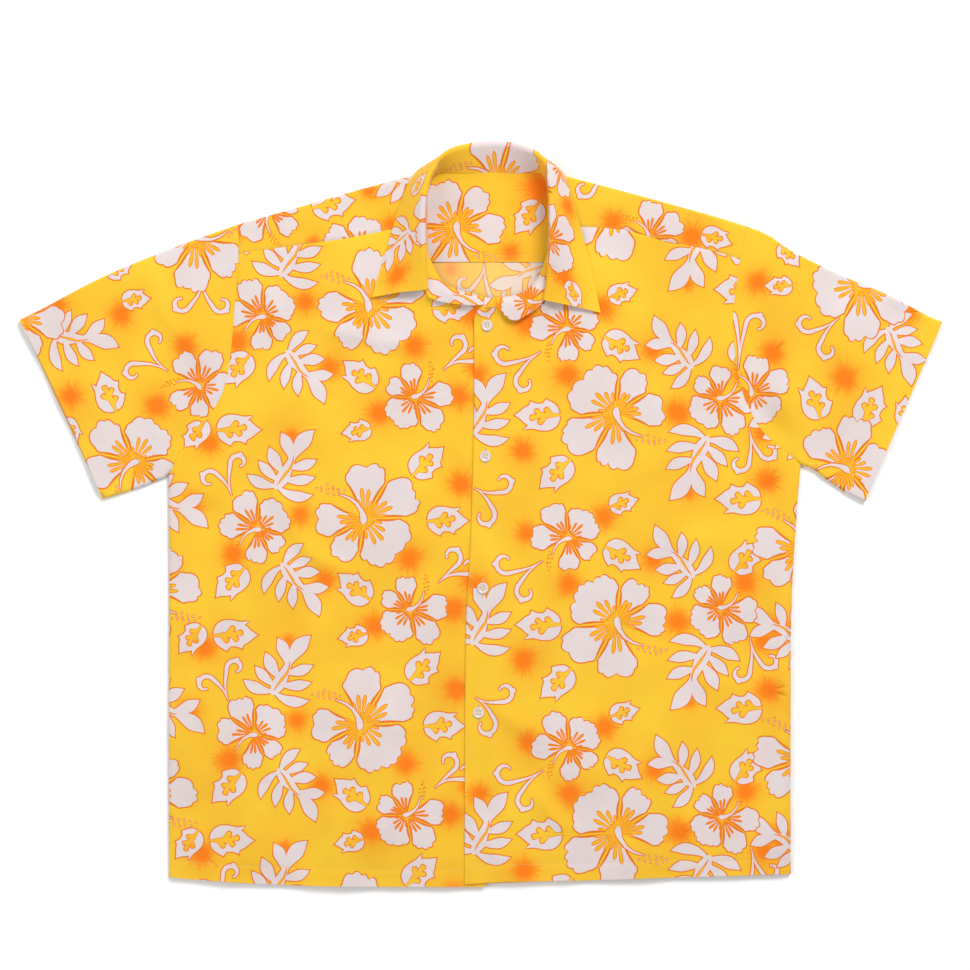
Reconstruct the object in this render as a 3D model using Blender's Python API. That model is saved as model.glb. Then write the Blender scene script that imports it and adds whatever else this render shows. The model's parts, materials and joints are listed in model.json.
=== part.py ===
"""Short-sleeved hawaiian shirt, buttoned and laid flat on its back.

Metres in Blender, +Z up. The tables below are in millimetres and become metres where a mesh is made.
The origin is on the underside of the back panel, the collar points to +Y and the front faces +Z.
Sides are the wearer's, so the wearer's right is at -X and the wearer's left at +X.

Every cloth piece is a sheet that follows the visible side of the cloth. A Solidify modifier gives it
its wall on the hidden side, and neighbours stop SEAM_GAP apart at each seam.
"""

import math

import bmesh
import bpy
import numpy as np
from mathutils.geometry import delaunay_2d_cdt

MM = 0.001

# Cloth
WALL = 1.2
COLLAR_WALL = 1.4
SEAM_GAP = 0.3
LAYER = WALL + SEAM_GAP
GRID = 28.0
FLAT_GRID = 60.0
SMALL_GRID = 8.0
FILL_OUTLINE = 1  # what delaunay_2d_cdt takes to leave out the triangles beyond an outline

# How far points keep from an outline and from each other, as shares of the spacing or the row's distance
ROW_CLEAR = 0.8
EXTRA_CLEAR = 0.15
GRID_CLEAR = 0.4
EDGE_STEP = 20.0
SHOULDER_STEP = 10.0
FINE_STEP = 6.0

# Heights above the table
TOP_HEIGHT = 5.6
FOLD_HEIGHT = TOP_HEIGHT / 2
FOLD_ROUND = 2.8
SIDE_HEIGHT = LAYER + 0.9
SIDE_ROUND = 5.0
SIDE_ROWS = (0.35, 1.6, 5.0)
NECK_ROWS = (3.0, 6.0, 9.5, 14.0, 20.0)
FOLD_ROWS = (0.35, 1.2, 2.8)
PLACKET_BLEND = (25.0, 60.0)

# Folds and side edges, as the outline shows them: x, y
SHOULDER_RIGHT = ((-242.5, 289.9), (-186.0, 306.0), (-129.0, 322.5), (-90.0, 333.0), (-55.8, 342.0))
SHOULDER_LEFT = ((266.0, 287.7), (231.0, 298.5), (159.0, 318.5), (112.0, 331.0), (69.2, 342.0))
SLEEVE_TOP_RIGHT = ((-242.5, 289.9), (-309.0, 266.0), (-381.0, 236.0), (-433.0, 208.5), (-461.0, 194.5))
SLEEVE_TOP_LEFT = (
    (266.0, 287.7),
    (279.0, 283.0),
    (291.0, 277.0),
    (303.0, 267.8),
    (315.0, 260.5),
    (363.0, 237.5),
    (411.0, 217.5),
    (445.0, 199.0),
    (461.0, 192.5),
)
SLEEVE_LOW_RIGHT = ((-312.5, 38.5), (-337.0, 28.5), (-378.0, 15.5))
SLEEVE_LOW_LEFT = ((319.5, 50.5), (332.0, 45.5), (345.0, 35.0), (362.0, 23.5), (383.0, 12.5))
SIDE_RIGHT = ((-312.5, 38.5), (-311.5, -60.0), (-312.0, -220.0), (-311.5, -362.5))
SIDE_LEFT = ((319.5, 50.5), (315.5, 0.0), (310.5, -90.0), (309.5, -220.0), (309.5, -359.0))
CUFF_PEEK = 2.5

# Seams: x, y
ARMHOLE_RIGHT = (
    (-242.5, 289.9),
    (-242.5, 245.0),
    (-245.4, 213.5),
    (-250.6, 157.5),
    (-259.0, 119.5),
    (-280.0, 86.5),
    (-300.0, 63.5),
    (-312.5, 38.5),
)
ARMHOLE_LEFT = (
    (266.0, 287.7),
    (260.4, 262.5),
    (255.0, 230.0),
    (251.8, 192.0),
    (254.5, 154.5),
    (263.0, 116.5),
    (276.0, 89.5),
    (297.0, 68.0),
    (319.5, 50.5),
)
BACK_ARMHOLE_EASE = 7.0
BACK_SEAM_Y = 252.5
FRONT_SEAM_RIGHT = ((-245.0, 260.5), (-177.0, 270.1), (-136.0, 275.7), (-87.0, 285.5), (-55.8, 292.0))
FRONT_SEAM_LEFT = ((261.0, 255.2), (220.5, 266.0), (180.0, 273.8), (143.0, 284.5), (101.0, 287.5), (69.2, 292.0))

# Hems: x, y
HEM_RIGHT = ((-311.5, -362.5), (-261.0, -366.5), (-207.0, -369.5), (-141.0, -371.5), (4.0, -372.0))
HEM_LEFT = ((-16.5, -369.5), (27.0, -366.8), (111.0, -365.5), (195.0, -362.5), (259.0, -363.0), (309.5, -359.0))
HEM_BACK = ((-311.5, -362.5), (-150.0, -368.0), (0.0, -369.0), (150.0, -362.0), (309.5, -359.0))

# Centre front: x, y
PLACKET_EDGE = ((-3.0, 203.5), (-7.0, 196.5), (-7.0, 104.5), (-10.3, -25.5), (-15.3, -125.5), (-16.5, -369.5))

# Neckline of the two fronts, from the shoulder seam round to the centre front: x, y
NECK_SIDE_RIGHT = ((-55.8, 292.0), (-55.8, 262.0))
NECK_ARC_RIGHT = (
    (-55.8, 262.0),
    (-55.6, 238.0),
    (-55.6, 225.0),
    (-54.4, 221.0),
    (-49.0, 219.6),
    (-36.0, 218.8),
    (-18.0, 216.0),
    (4.0, 210.5),
)
NECK_SIDE_LEFT = ((69.2, 292.0), (69.2, 262.0))
NECK_ARC_LEFT = (
    (69.2, 262.0),
    (67.6, 243.0),
    (66.1, 226.0),
    (64.6, 214.5),
    (62.8, 210.6),
    (56.0, 210.4),
    (44.0, 209.0),
    (32.0, 207.5),
    (22.0, 207.8),
    (14.0, 209.2),
    (2.0, 208.5),
    (-3.0, 203.5),
)
NECK_RISE = 5.0
NECK_RISE_REACH = 8.5
NECK_RISE_START = (262.0, 238.0)

# Back neckline, where the collar's seam is: x, y
NECK_BACK = ((-55.8, 342.0), (-46.0, 338.6), (-20.0, 338.4), (30.0, 338.4), (60.0, 338.4), (69.2, 342.0))

# The fall of the collar lies under this part of the yoke, which it lifts
FALL_BOX = ((-60.0, 318.0), (84.0, 352.0))
FALL_LIFT = COLLAR_WALL + 2 * SEAM_GAP
FALL_FADE = 16.0

# Rolled-out facings: outline from the inner, rolled edge to the free edge: x, y
FACING_RIGHT_INNER = ((-51.8, 268.0), (-49.0, 253.5), (-43.5, 241.0), (-36.0, 230.5), (-21.0, 224.5), (2.5, 217.5))
FACING_RIGHT_OUTER = ((2.5, 213.0), (-4.0, 208.5), (-32.0, 211.0), (-51.8, 216.8))
FACING_LEFT_INNER = (
    (4.3, 216.5),
    (17.0, 217.5),
    (31.0, 218.5),
    (46.0, 225.5),
    (56.0, 236.0),
    (62.0, 250.0),
    (64.4, 264.0),
)
FACING_LEFT_OUTER = ((60.6, 214.0), (57.0, 206.5), (49.0, 200.8), (36.0, 193.8), (27.0, 195.8), (20.0, 203.0))
FACING_LEFT_JOIN = ((16.0, 210.6), (4.3, 210.4))
FACING_CREST = 13.4
FACING_INNER_Z = 5.2
FACING_ROLL = 9.0
FACING_SLOPE = 0.10
FACING_ROWS = (0.6, 2.2, 5.0)

# Collar stations from the right front end round the back to the left front end.
# Columns: neck seam x, y, z; middle of the roll x, y, z; knee of the fall x, y, z; outer edge x, y, z
COLLAR_STATIONS = (
    (-53.2, 222.5, 9.8, -55.5, 224.0, 14.5, -82.0, 221.5, 13.0, -109.0, 217.0, 9.4),
    (-53.4, 236.0, 7.5, -56.2, 237.0, 19.0, -80.5, 235.0, 14.8, -104.5, 232.0, 7.8),
    (-53.6, 259.0, 5.4, -57.0, 260.0, 26.0, -77.0, 260.0, 18.2, -96.0, 259.5, 7.6),
    (-53.7, 284.0, 4.8, -57.8, 286.0, 30.5, -74.0, 286.5, 20.8, -88.0, 287.0, 7.6),
    (-53.7, 304.0, 4.8, -57.5, 307.0, 32.0, -71.0, 306.5, 21.8, -82.5, 306.0, 7.8),
    (-52.6, 321.0, 6.0, -54.8, 326.0, 32.0, -66.0, 325.0, 22.3, -76.0, 323.5, 9.0),
    (-50.0, 332.5, 7.0, -50.5, 339.5, 31.0, -61.0, 338.0, 22.0, -69.5, 335.8, 9.8),
    (-47.0, 338.5, 7.4, -46.5, 346.0, 29.5, -56.5, 345.5, 20.5, -64.0, 343.5, 8.4),
    (-43.0, 340.6, 7.2, -43.0, 351.5, 28.0, -51.5, 351.0, 17.5, -58.5, 347.6, 4.6),
    (-38.0, 341.2, 6.8, -38.5, 356.5, 26.0, -45.5, 353.5, 13.0, -50.0, 347.6, 0.8),
    (-30.0, 341.2, 6.5, -31.0, 361.5, 23.5, -37.0, 347.5, 1.0, -40.0, 340.0, 0.0),
    (-14.0, 340.9, 6.3, -15.0, 366.8, 20.5, -19.5, 344.0, 0.4, -22.0, 326.0, 0.0),
    (7.0, 340.7, 6.2, 6.5, 369.3, 19.0, 7.0, 344.0, 0.3, 7.0, 322.0, 0.0),
    (30.0, 340.9, 6.3, 31.0, 367.8, 19.5, 35.0, 345.0, 0.3, 39.0, 328.0, 0.0),
    (45.0, 341.2, 6.5, 48.0, 362.6, 23.0, 54.5, 348.0, 0.8, 58.5, 340.0, 0.0),
    (54.0, 341.2, 6.9, 57.5, 357.0, 26.0, 64.5, 352.0, 11.0, 69.0, 345.6, 0.8),
    (59.5, 340.6, 7.2, 63.0, 351.5, 28.0, 71.5, 350.5, 17.5, 77.5, 345.4, 4.6),
    (63.0, 337.0, 7.4, 66.5, 345.5, 29.5, 76.0, 345.0, 20.5, 82.5, 341.0, 8.4),
    (65.0, 329.5, 7.0, 68.0, 337.0, 31.0, 78.0, 337.5, 22.0, 85.0, 335.0, 9.8),
    (66.3, 315.0, 6.0, 69.2, 321.5, 32.0, 80.0, 324.0, 22.3, 88.5, 324.5, 9.0),
    (66.8, 297.0, 4.8, 70.2, 302.0, 32.0, 83.5, 305.0, 21.8, 94.0, 306.5, 7.8),
    (66.8, 276.0, 4.8, 70.5, 280.0, 30.5, 87.5, 279.5, 20.8, 102.0, 277.5, 7.6),
    (66.1, 253.0, 5.4, 69.6, 256.0, 26.0, 91.0, 252.0, 18.2, 110.0, 247.0, 7.6),
    (64.3, 229.0, 7.5, 67.2, 231.5, 18.5, 92.5, 225.5, 14.6, 116.0, 219.0, 7.9),
    (61.6, 212.5, 9.8, 63.7, 213.5, 14.0, 91.5, 208.0, 13.0, 119.5, 201.5, 9.4),
)
ROLL_RADIUS = 2.8
ROLL_POINTS = 4
STAND_SHARES = (0.0, 0.35, 0.7)

# Largest folds of the upper layer. Columns: start x, y; end x, y; half width; height
FOLDS = (
    (276.0, 276.0, 281.0, 236.0, 9.0, 2.2),
    (290.0, 268.0, 330.0, 200.0, 16.0, -0.9),
    (262.0, 128.0, 300.0, 72.0, 9.0, -1.6),
    (282.0, 132.0, 330.0, 78.0, 14.0, 1.6),
    (-270.0, 112.0, -306.0, 66.0, 9.0, -1.4),
    (-292.0, 118.0, -330.0, 66.0, 14.0, 1.2),
    (292.0, -180.0, 288.0, -350.0, 12.0, 1.8),
    (262.0, -150.0, 258.0, -352.0, 13.0, -0.9),
    (-282.0, -60.0, -286.0, -330.0, 14.0, 1.0),
    (-160.0, -140.0, -175.0, -366.0, 30.0, 1.2),
    (140.0, 150.0, 110.0, -60.0, 34.0, 1.3),
    (-120.0, 190.0, -150.0, -20.0, 34.0, 1.1),
    (-8.0, 176.0, -60.0, 196.0, 16.0, -1.0),
    (90.0, -240.0, 100.0, -362.0, 26.0, 1.2),
)

# Buttons: centre x, y on the band, top to bottom
BUTTONS = ((6.1, 188.8), (4.4, 58.1), (1.7, -73.6), (-2.4, -197.8))
BUTTON_RADIUS = 5.7
BUTTON_POINTS = 24
HOLE_POINTS = 8
BUTTON_THICKNESS = 1.9
BUTTON_RIM = 1.2
BUTTON_DISH = 0.6
BUTTON_HOLE_RADIUS = 0.75
BUTTON_HOLE_OFFSET = 1.45

YELLOW = (0.93, 0.56, 0.045)
PEARL = (0.86, 0.80, 0.78)


def clear_scene():
    for old in list(bpy.data.objects):
        bpy.data.objects.remove(old, do_unlink=True)


def material(name, colour, roughness):
    made = bpy.data.materials.new(name)
    made.use_nodes = True
    shader = made.node_tree.nodes["Principled BSDF"]
    shader.inputs["Base Color"].default_value = (*colour, 1.0)
    shader.inputs["Roughness"].default_value = roughness
    return made


# Plane geometry


def curve(rows, step=EDGE_STEP):
    """Points along a smooth curve through the rows, about a step apart."""
    rows = np.array(rows, float)
    ends = np.vstack([2 * rows[0] - rows[1], rows, 2 * rows[-1] - rows[-2]])
    made = [rows[0]]
    for i in range(1, len(rows)):
        a, b, c, d = ends[i - 1 : i + 3]
        parts = max(1, round(np.linalg.norm(c - b) / step))
        for k in range(1, parts + 1):
            t = k / parts
            point = (2 * t**3 - 3 * t**2 + 1) * b + (t**3 - 2 * t**2 + t) * (c - a) / 2
            made.append(point + (3 * t**2 - 2 * t**3) * c + (t**3 - t**2) * (d - b) / 2)
    return np.array(made)


def shifted(line, amount):
    """The line moved to its left by the amount."""
    along = np.gradient(line, axis=0)
    along /= np.linalg.norm(along, axis=1)[:, None]
    return line + amount * np.stack([-along[:, 1], along[:, 0]], axis=1)


def between(line, low, high):
    """The stretch of a falling line between two heights y, with its ends worked out."""
    ys = line[:, 1]
    ends = [np.array([np.interp(-y, -ys, line[:, 0]), y]) for y in (min(high, ys[0]), max(low, ys[-1]))]
    middle = line[(ys < ends[0][1] - 1) & (ys > ends[1][1] + 1)]
    return np.vstack([ends[0], middle, ends[1]])


def end_steps(line, steps):
    """The line with points added at these distances from both its ends."""
    lengths = np.concatenate([[0], np.cumsum(np.linalg.norm(np.diff(line, axis=0), axis=1))])
    at = np.unique(np.concatenate([lengths, steps, lengths[-1] - np.array(steps)]))
    at = at[(at >= 0) & (at <= lengths[-1])]
    return np.column_stack([np.interp(at, lengths, line[:, k]) for k in (0, 1)])


def closed(outline):
    return np.vstack([outline, outline[:1]])


def loop(*lines, step=1.4 * EDGE_STEP):
    """One outline from lines laid end to end, with doubled points left out and long edges divided."""
    points = closed(np.vstack(lines))
    kept = []
    for a, b in zip(points[:-1], points[1:]):
        length = np.linalg.norm(b - a)
        if length > 0.05:
            parts = math.ceil(length / step)
            kept += [a + (b - a) * k / parts for k in range(parts)]
    return np.array(kept)


def ring(centre, radius, count):
    angles = np.linspace(0, 2 * math.pi, count, endpoint=False)
    return np.column_stack([centre[0] + radius * np.cos(angles), centre[1] + radius * np.sin(angles)])


def distance(points, line):
    """The distance from each point to the line."""
    best = np.full(len(points), np.inf)
    for a, b in zip(line[:-1], line[1:]):
        ab = b - a
        t = np.clip(((points - a) @ ab) / max(ab @ ab, 1e-9), 0, 1)
        best = np.minimum(best, np.linalg.norm(points - a - t[:, None] * ab, axis=1))
    return best


def inside(points, outline):
    found = np.zeros(len(points), bool)
    for a, b in zip(outline, np.roll(outline, -1, axis=0)):
        spans = (a[1] > points[:, 1]) != (b[1] > points[:, 1])
        if spans.any():
            x = a[0] + (points[:, 1] - a[1]) * (b[0] - a[0]) / (b[1] - a[1] + 1e-12)
            found ^= spans & (points[:, 0] < x)
    return found


def ease(value, start, end):
    """0 before start, 1 after end, smooth between."""
    t = np.clip((value - start) / (end - start), 0, 1)
    return t * t * (3 - 2 * t)


def rounded(d, radius):
    """Height share over a rounded edge, at distance d from it."""
    return np.sqrt(1 - (1 - np.clip(d / radius, 0, 1)) ** 2)


# Heights


def fall_lift(p):
    """How far the collar's fall lifts what lies on it."""
    (x0, y0), (x1, y1) = FALL_BOX
    beyond = np.hypot(
        np.maximum(0, np.maximum(x0 - p[:, 0], p[:, 0] - x1)),
        np.maximum(0, np.maximum(y0 - p[:, 1], p[:, 1] - y1)),
    )
    return FALL_LIFT * (1 - ease(beyond, 0, FALL_FADE))


def folds(p):
    """The soft ridges and hollows of the upper layer."""
    total = np.zeros(len(p))
    for x0, y0, x1, y1, half_width, height in FOLDS:
        run = np.array([x1 - x0, y1 - y0])
        length = np.linalg.norm(run)
        run /= length
        along = (p - (x0, y0)) @ run
        across = (p - (x0, y0)) @ np.array([-run[1], run[0]])
        over = np.maximum(0, np.maximum(-along, along - length))
        total += height * np.exp(-((across / half_width) ** 2) - (over / (1.5 * half_width)) ** 2)
    return total


def upper(p):
    """The visible side of the upper layer, away from its edges."""
    return TOP_HEIGHT + folds(p) + fall_lift(p)


def placket_lift(p):
    """The left front lies on the right one, and comes down to its level beside the band."""
    return LAYER * (1 - ease(p[:, 0], *PLACKET_BLEND))


def front_height(p, side, arc, on_top):
    """The visible side of a front, which rounds down at its side and rises at the neckline."""
    height = upper(p) + (placket_lift(p) if on_top else 0)
    rise = np.exp(-((distance(p, arc) / NECK_RISE_REACH) ** 2))
    height = height + NECK_RISE * rise * ease(-p[:, 1], -NECK_RISE_START[0], -NECK_RISE_START[1])
    return SIDE_HEIGHT + (height - SIDE_HEIGHT) * rounded(distance(p, side), SIDE_ROUND)


def tube_heights(p, edges):
    """The upper and the lower side of a tube that is folded flat along its edges."""
    share = rounded(np.min([distance(p, edge) for edge in edges], axis=0), FOLD_ROUND)
    lift = fall_lift(p)
    middle = FOLD_HEIGHT + lift
    return middle + (upper(p) - middle) * share, middle - FOLD_HEIGHT * share


def facing_height(p, inner, lift):
    """A facing rolls over beside its inner edge and falls a little towards its free edge."""
    d = distance(p, inner)
    height = FACING_INNER_Z + (FACING_CREST - FACING_INNER_Z) * rounded(d, FACING_ROLL)
    return height - FACING_SLOPE * np.maximum(0, d - FACING_ROLL) + lift


# Meshes


def added(kept, points, apart):
    """The kept points and those of the others that lie at least this far from them."""
    if len(kept) and len(points):
        points = points[np.linalg.norm(points[:, None] - kept[None], axis=2).min(axis=1) > apart]
    return np.vstack([kept, points]) if len(points) else kept


def fall_points():
    """A grid over the collar's fall and where its lift fades away."""
    (x0, y0), (x1, y1) = FALL_BOX
    reach = np.linspace(0, FALL_FADE, 4)[1:]
    xs = np.concatenate([x0 - reach[::-1], np.linspace(x0, x1, 9), x1 + reach])
    ys = np.concatenate([y0 - reach[::-1], np.linspace(y0, y1, 3)])
    return np.array([(x, y) for y in ys for x in xs])


def fold_points():
    """Points along each fold and at its half width on both sides."""
    made = []
    for x0, y0, x1, y1, half_width, _ in FOLDS:
        start, run = np.array([x0, y0]), np.array([x1 - x0, y1 - y0])
        length = np.linalg.norm(run)
        across = np.array([-run[1], run[0]]) / length * half_width
        parts = max(2, round(length / (2.5 * half_width)))
        for k in range(parts + 1):
            middle = start + run * k / parts
            made += [middle - across, middle, middle + across]
    return np.array(made)


def rows_beside(outline, round_edges):
    """Lines inside an outline that follow its rounded edges, where the height bends.

    round_edges pairs each such edge with the distances of its rows.
    """
    rim = closed(outline)
    lines = []
    for edge, rows in round_edges:
        for row in rows:
            for line in (shifted(edge, row), shifted(edge, -row)):
                beside = inside(line, outline) & (distance(line, rim) > ROW_CLEAR * row)
                turns = np.flatnonzero(np.diff(beside.astype(int))) + 1
                lines += np.split(line, turns)[0 if beside[0] else 1 :: 2]
    return lines


def inner_points(outline, spacing, kept, extra):
    """The kept points inside an outline with extra ones and a hexagonal grid between them."""
    rim = closed(outline)
    x1, y1 = outline.max(axis=0)
    low = np.floor(outline.min(axis=0) / spacing) * spacing
    grid = []
    for j, y in enumerate(np.arange(low[1], y1, spacing * math.sqrt(0.75))):
        grid += [(x, y) for x in np.arange(low[0] + (j % 2) * spacing / 2, x1, spacing)]
    for points, clear in (*((points, EXTRA_CLEAR) for points in extra), (np.array(grid), GRID_CLEAR)):
        points = points[inside(points, outline)]
        points = points[distance(points, rim) > clear * spacing]
        kept = added(kept, points, clear * spacing)
    return kept


def flat_sheet(outline, spacing, round_edges=(), extra=(), holes=()):
    """Corners and triangles that fill an outline, facing +Z."""
    rings = [outline, *holes]
    rows = rows_beside(outline, round_edges)
    edges = []
    start = 0
    for line, ends in (*((one, 0) for one in rings), *((row, 1) for row in rows)):
        edges += [(start + i, start + (i + 1) % len(line)) for i in range(len(line) - ends)]
        start += len(line)
    beside = np.vstack([np.empty((0, 2)), *rows])
    points = np.vstack([*rings, inner_points(outline, spacing, beside, extra)])
    found = delaunay_2d_cdt([tuple(p) for p in points], edges, [], FILL_OUTLINE, 1e-3)
    corners = np.array([tuple(v) for v in found[0]])
    triangles = np.array([f for f in found[2] if len(f) == 3])
    for hole in holes:
        triangles = triangles[~inside(corners[triangles].mean(axis=1), hole)]
    a, b, c = (corners[triangles[:, i]] for i in range(3))
    turned = (b[:, 0] - a[:, 0]) * (c[:, 1] - a[:, 1]) < (b[:, 1] - a[:, 1]) * (c[:, 0] - a[:, 0])
    triangles[turned] = triangles[turned][:, ::-1]
    return corners, triangles


def raised(flat, heights):
    corners, faces = flat
    return np.column_stack([corners, heights(corners)]), faces


def turned_over(layer):
    points, faces = layer
    return points, faces[:, ::-1]


def add_piece(name, mesh, paint):
    """An object from a bmesh in millimetres."""
    bmesh.ops.scale(mesh, vec=(MM, MM, MM), verts=mesh.verts)
    data = bpy.data.meshes.new(name)
    mesh.to_mesh(data)
    mesh.free()
    data.materials.append(paint)
    data.shade_smooth()
    piece = bpy.data.objects.new(name, data)
    bpy.context.collection.objects.link(piece)
    return piece


def cloth(name, layers, paint, wall=WALL):
    """One cloth piece from layers of (points, faces), joined where they share points."""
    mesh = bmesh.new()
    for points, faces in layers:
        made = [mesh.verts.new(tuple(p)) for p in points]
        for face in faces:
            mesh.faces.new([made[i] for i in face])
    bmesh.ops.remove_doubles(mesh, verts=mesh.verts, dist=0.02)
    loose = [v for v in mesh.verts if not v.link_faces]
    bmesh.ops.delete(mesh, geom=loose, context="VERTS")
    piece = add_piece(name, mesh, paint)
    solid = piece.modifiers.new("Wall", "SOLIDIFY")
    solid.thickness = wall * MM
    solid.offset = -1
    return piece


# Pieces


def armhole(rows, body, gap_side, back=False):
    """An armhole seam, on the body's side (1) or the sleeve's (-1).

    body is the direction of the body in x.
    """
    line = curve(rows)
    if back:
        share = np.sin(np.linspace(0, math.pi, len(line)))
        line = line - np.outer(share, (body * BACK_ARMHOLE_EASE, 0))
    return shifted(line, body * gap_side * SEAM_GAP / 2)


def build_back(paint):
    top = BACK_SEAM_Y - SEAM_GAP / 2
    right = between(armhole(ARMHOLE_RIGHT, 1, 1, back=True), -math.inf, top)
    left = between(armhole(ARMHOLE_LEFT, -1, 1, back=True), -math.inf, top)
    sides = curve(SIDE_RIGHT)[1:], curve(SIDE_LEFT)[::-1][:-1]
    outline = loop(right, sides[0], curve(HEM_BACK), sides[1], left[::-1])
    layer = raised(flat_sheet(outline, FLAT_GRID), lambda p: np.zeros(len(p)))
    cloth("back_panel", [turned_over(layer)], paint)


def build_yoke(paint):
    low = BACK_SEAM_Y + SEAM_GAP / 2
    right = between(armhole(ARMHOLE_RIGHT, 1, 1, back=True), low, math.inf)
    left = between(armhole(ARMHOLE_LEFT, -1, 1, back=True), low, math.inf)
    shoulders = curve(SHOULDER_RIGHT, SHOULDER_STEP), curve(SHOULDER_LEFT, SHOULDER_STEP)
    shoulders[0][0], shoulders[1][0] = right[0], left[0]
    neck = end_steps(curve(NECK_BACK), [2 * row for row in FOLD_ROWS])
    arms = end_steps(right, FOLD_ROWS), end_steps(left, FOLD_ROWS)
    outline = loop(arms[0][::-1], shoulders[0], neck, shoulders[1][::-1], arms[1])
    flat = flat_sheet(outline, GRID, [(shoulder, FOLD_ROWS) for shoulder in shoulders], [fall_points()])
    layers = [turned_over(raised(flat, lambda p: tube_heights(p, shoulders)[1]))]
    fronts = (ARMHOLE_RIGHT, FRONT_SEAM_RIGHT, 1), (ARMHOLE_LEFT, FRONT_SEAM_LEFT, -1)
    for shoulder, (arm_rows, seam_rows, body) in zip(shoulders, fronts):
        seam = curve(seam_rows) + (0, SEAM_GAP / 2)
        arm = between(armhole(arm_rows, body, 1), seam[0][1], math.inf)
        arm[0], seam[0] = shoulder[0], arm[-1]
        arm, neck_side = (end_steps(line, FOLD_ROWS) for line in (arm, np.array([seam[-1], shoulder[-1]])))
        outline = loop(arm, seam, neck_side, shoulder[::-1])
        flat = flat_sheet(outline, GRID, [(shoulder, FOLD_ROWS)], [fall_points()])
        layers.append(raised(flat, lambda p: tube_heights(p, shoulders)[0]))
    cloth("back_yoke", layers, paint)


def build_yoke_facing(paint):
    """Lies inside the yoke, clear of its folds and of the armholes."""
    inset = FOLD_ROUND + 2 * WALL
    right = shifted(curve(SHOULDER_RIGHT, SHOULDER_STEP), -inset)
    left = shifted(curve(SHOULDER_LEFT, SHOULDER_STEP), inset)
    right[0][0] += inset
    left[0][0] -= inset
    corners = np.array([[right[0][0] - inset / 2, BACK_SEAM_Y], [left[0][0] + inset / 2, BACK_SEAM_Y]])
    outline = loop(corners[:1], right[:-1], curve(NECK_BACK)[1:-1], left[::-1][1:], corners[1:])
    flat = flat_sheet(outline, GRID, extra=[fall_points()])
    cloth("yoke_facing", [raised(flat, lambda p: LAYER + WALL + fall_lift(p))], paint)


def build_front(name, rows, body, centre, on_top, paint):
    """One front. rows holds its armhole, yoke seam, side, hem, neck side and neck arc."""
    arm_rows, seam_rows, side_rows, hem_rows, neck_rows, arc_rows = rows
    seam = curve(seam_rows) - (0, SEAM_GAP / 2)
    arm = between(armhole(arm_rows, body, 1), -math.inf, seam[0][1])
    side, hem, arc = curve(side_rows), curve(hem_rows), curve(arc_rows, FINE_STEP)
    seam[0], side[0] = arm[0], arm[-1]
    arm, hem, centre = end_steps(arm, SIDE_ROWS), end_steps(hem, SIDE_ROWS), end_steps(centre, NECK_ROWS)
    outline = loop(arm, side, hem, centre[::-1], arc[::-1], curve(neck_rows)[::-1], seam[::-1])
    seats = np.vstack([ring(button, 1.5 * BUTTON_RADIUS, 8) for button in BUTTONS])
    flat = flat_sheet(outline, GRID, [(side, SIDE_ROWS), (arc, NECK_ROWS)], [seats, fold_points()])
    cloth(name, [raised(flat, lambda p: front_height(p, side, arc, on_top))], paint)


def build_fronts(paint):
    right = ARMHOLE_RIGHT, FRONT_SEAM_RIGHT, SIDE_RIGHT, HEM_RIGHT, NECK_SIDE_RIGHT, NECK_ARC_RIGHT
    left = ARMHOLE_LEFT, FRONT_SEAM_LEFT, SIDE_LEFT, HEM_LEFT, NECK_SIDE_LEFT, NECK_ARC_LEFT
    under_edge = np.array([NECK_ARC_RIGHT[-1], HEM_RIGHT[-1]])
    build_front("front_right", right, 1, under_edge, False, paint)
    build_front("front_left", left, -1, curve(PLACKET_EDGE), True, paint)


def build_facings(paint):
    inner = curve(FACING_RIGHT_INNER, FINE_STEP)
    outline = loop(inner, curve(FACING_RIGHT_OUTER, FINE_STEP), step=SMALL_GRID)
    flat = flat_sheet(outline, SMALL_GRID, [(inner, FACING_ROWS)])
    cloth("facing_right", [raised(flat, lambda p: facing_height(p, inner, 0))], paint)
    inner_left = curve(FACING_LEFT_INNER, FINE_STEP)
    free_edge = curve(FACING_LEFT_OUTER, FINE_STEP)
    outline = loop(inner_left, free_edge, curve(FACING_LEFT_JOIN, FINE_STEP), step=SMALL_GRID)
    flat = flat_sheet(outline, SMALL_GRID, [(inner_left, FACING_ROWS)])
    cloth("facing_left", [raised(flat, lambda p: facing_height(p, inner_left, placket_lift(p)))], paint)


def build_sleeve(name, top, low, arm_rows, body, peek, paint):
    """A tube folded flat along its top and lower edge, open at the armhole and the cuff."""
    front, back = armhole(arm_rows, body, -1), armhole(arm_rows, body, -1, back=True)
    edges = curve(top), curve(low)
    edges[0][0], edges[1][0] = front[0], front[-1]
    back[0], back[-1] = front[0], front[-1]
    front, back = end_steps(front, FOLD_ROWS), end_steps(back, FOLD_ROWS)
    cuff = end_steps(np.linspace(edges[0][-1], edges[1][-1], 10), FOLD_ROWS)
    swell = np.outer(np.sin(np.linspace(0, math.pi, len(cuff))), (body * peek, 0))
    layers = []
    for arm, end, lower in ((front, cuff + swell, 0), (back, cuff, 1)):
        outline = loop(edges[0], end, edges[1][::-1], arm[::-1])
        extra = () if lower else [fold_points()]
        flat = flat_sheet(outline, GRID, [(edge, FOLD_ROWS) for edge in edges], extra)
        layer = raised(flat, lambda p: tube_heights(p, edges)[lower])
        layers.append(turned_over(layer) if lower else layer)
    cloth(name, layers, paint)


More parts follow.
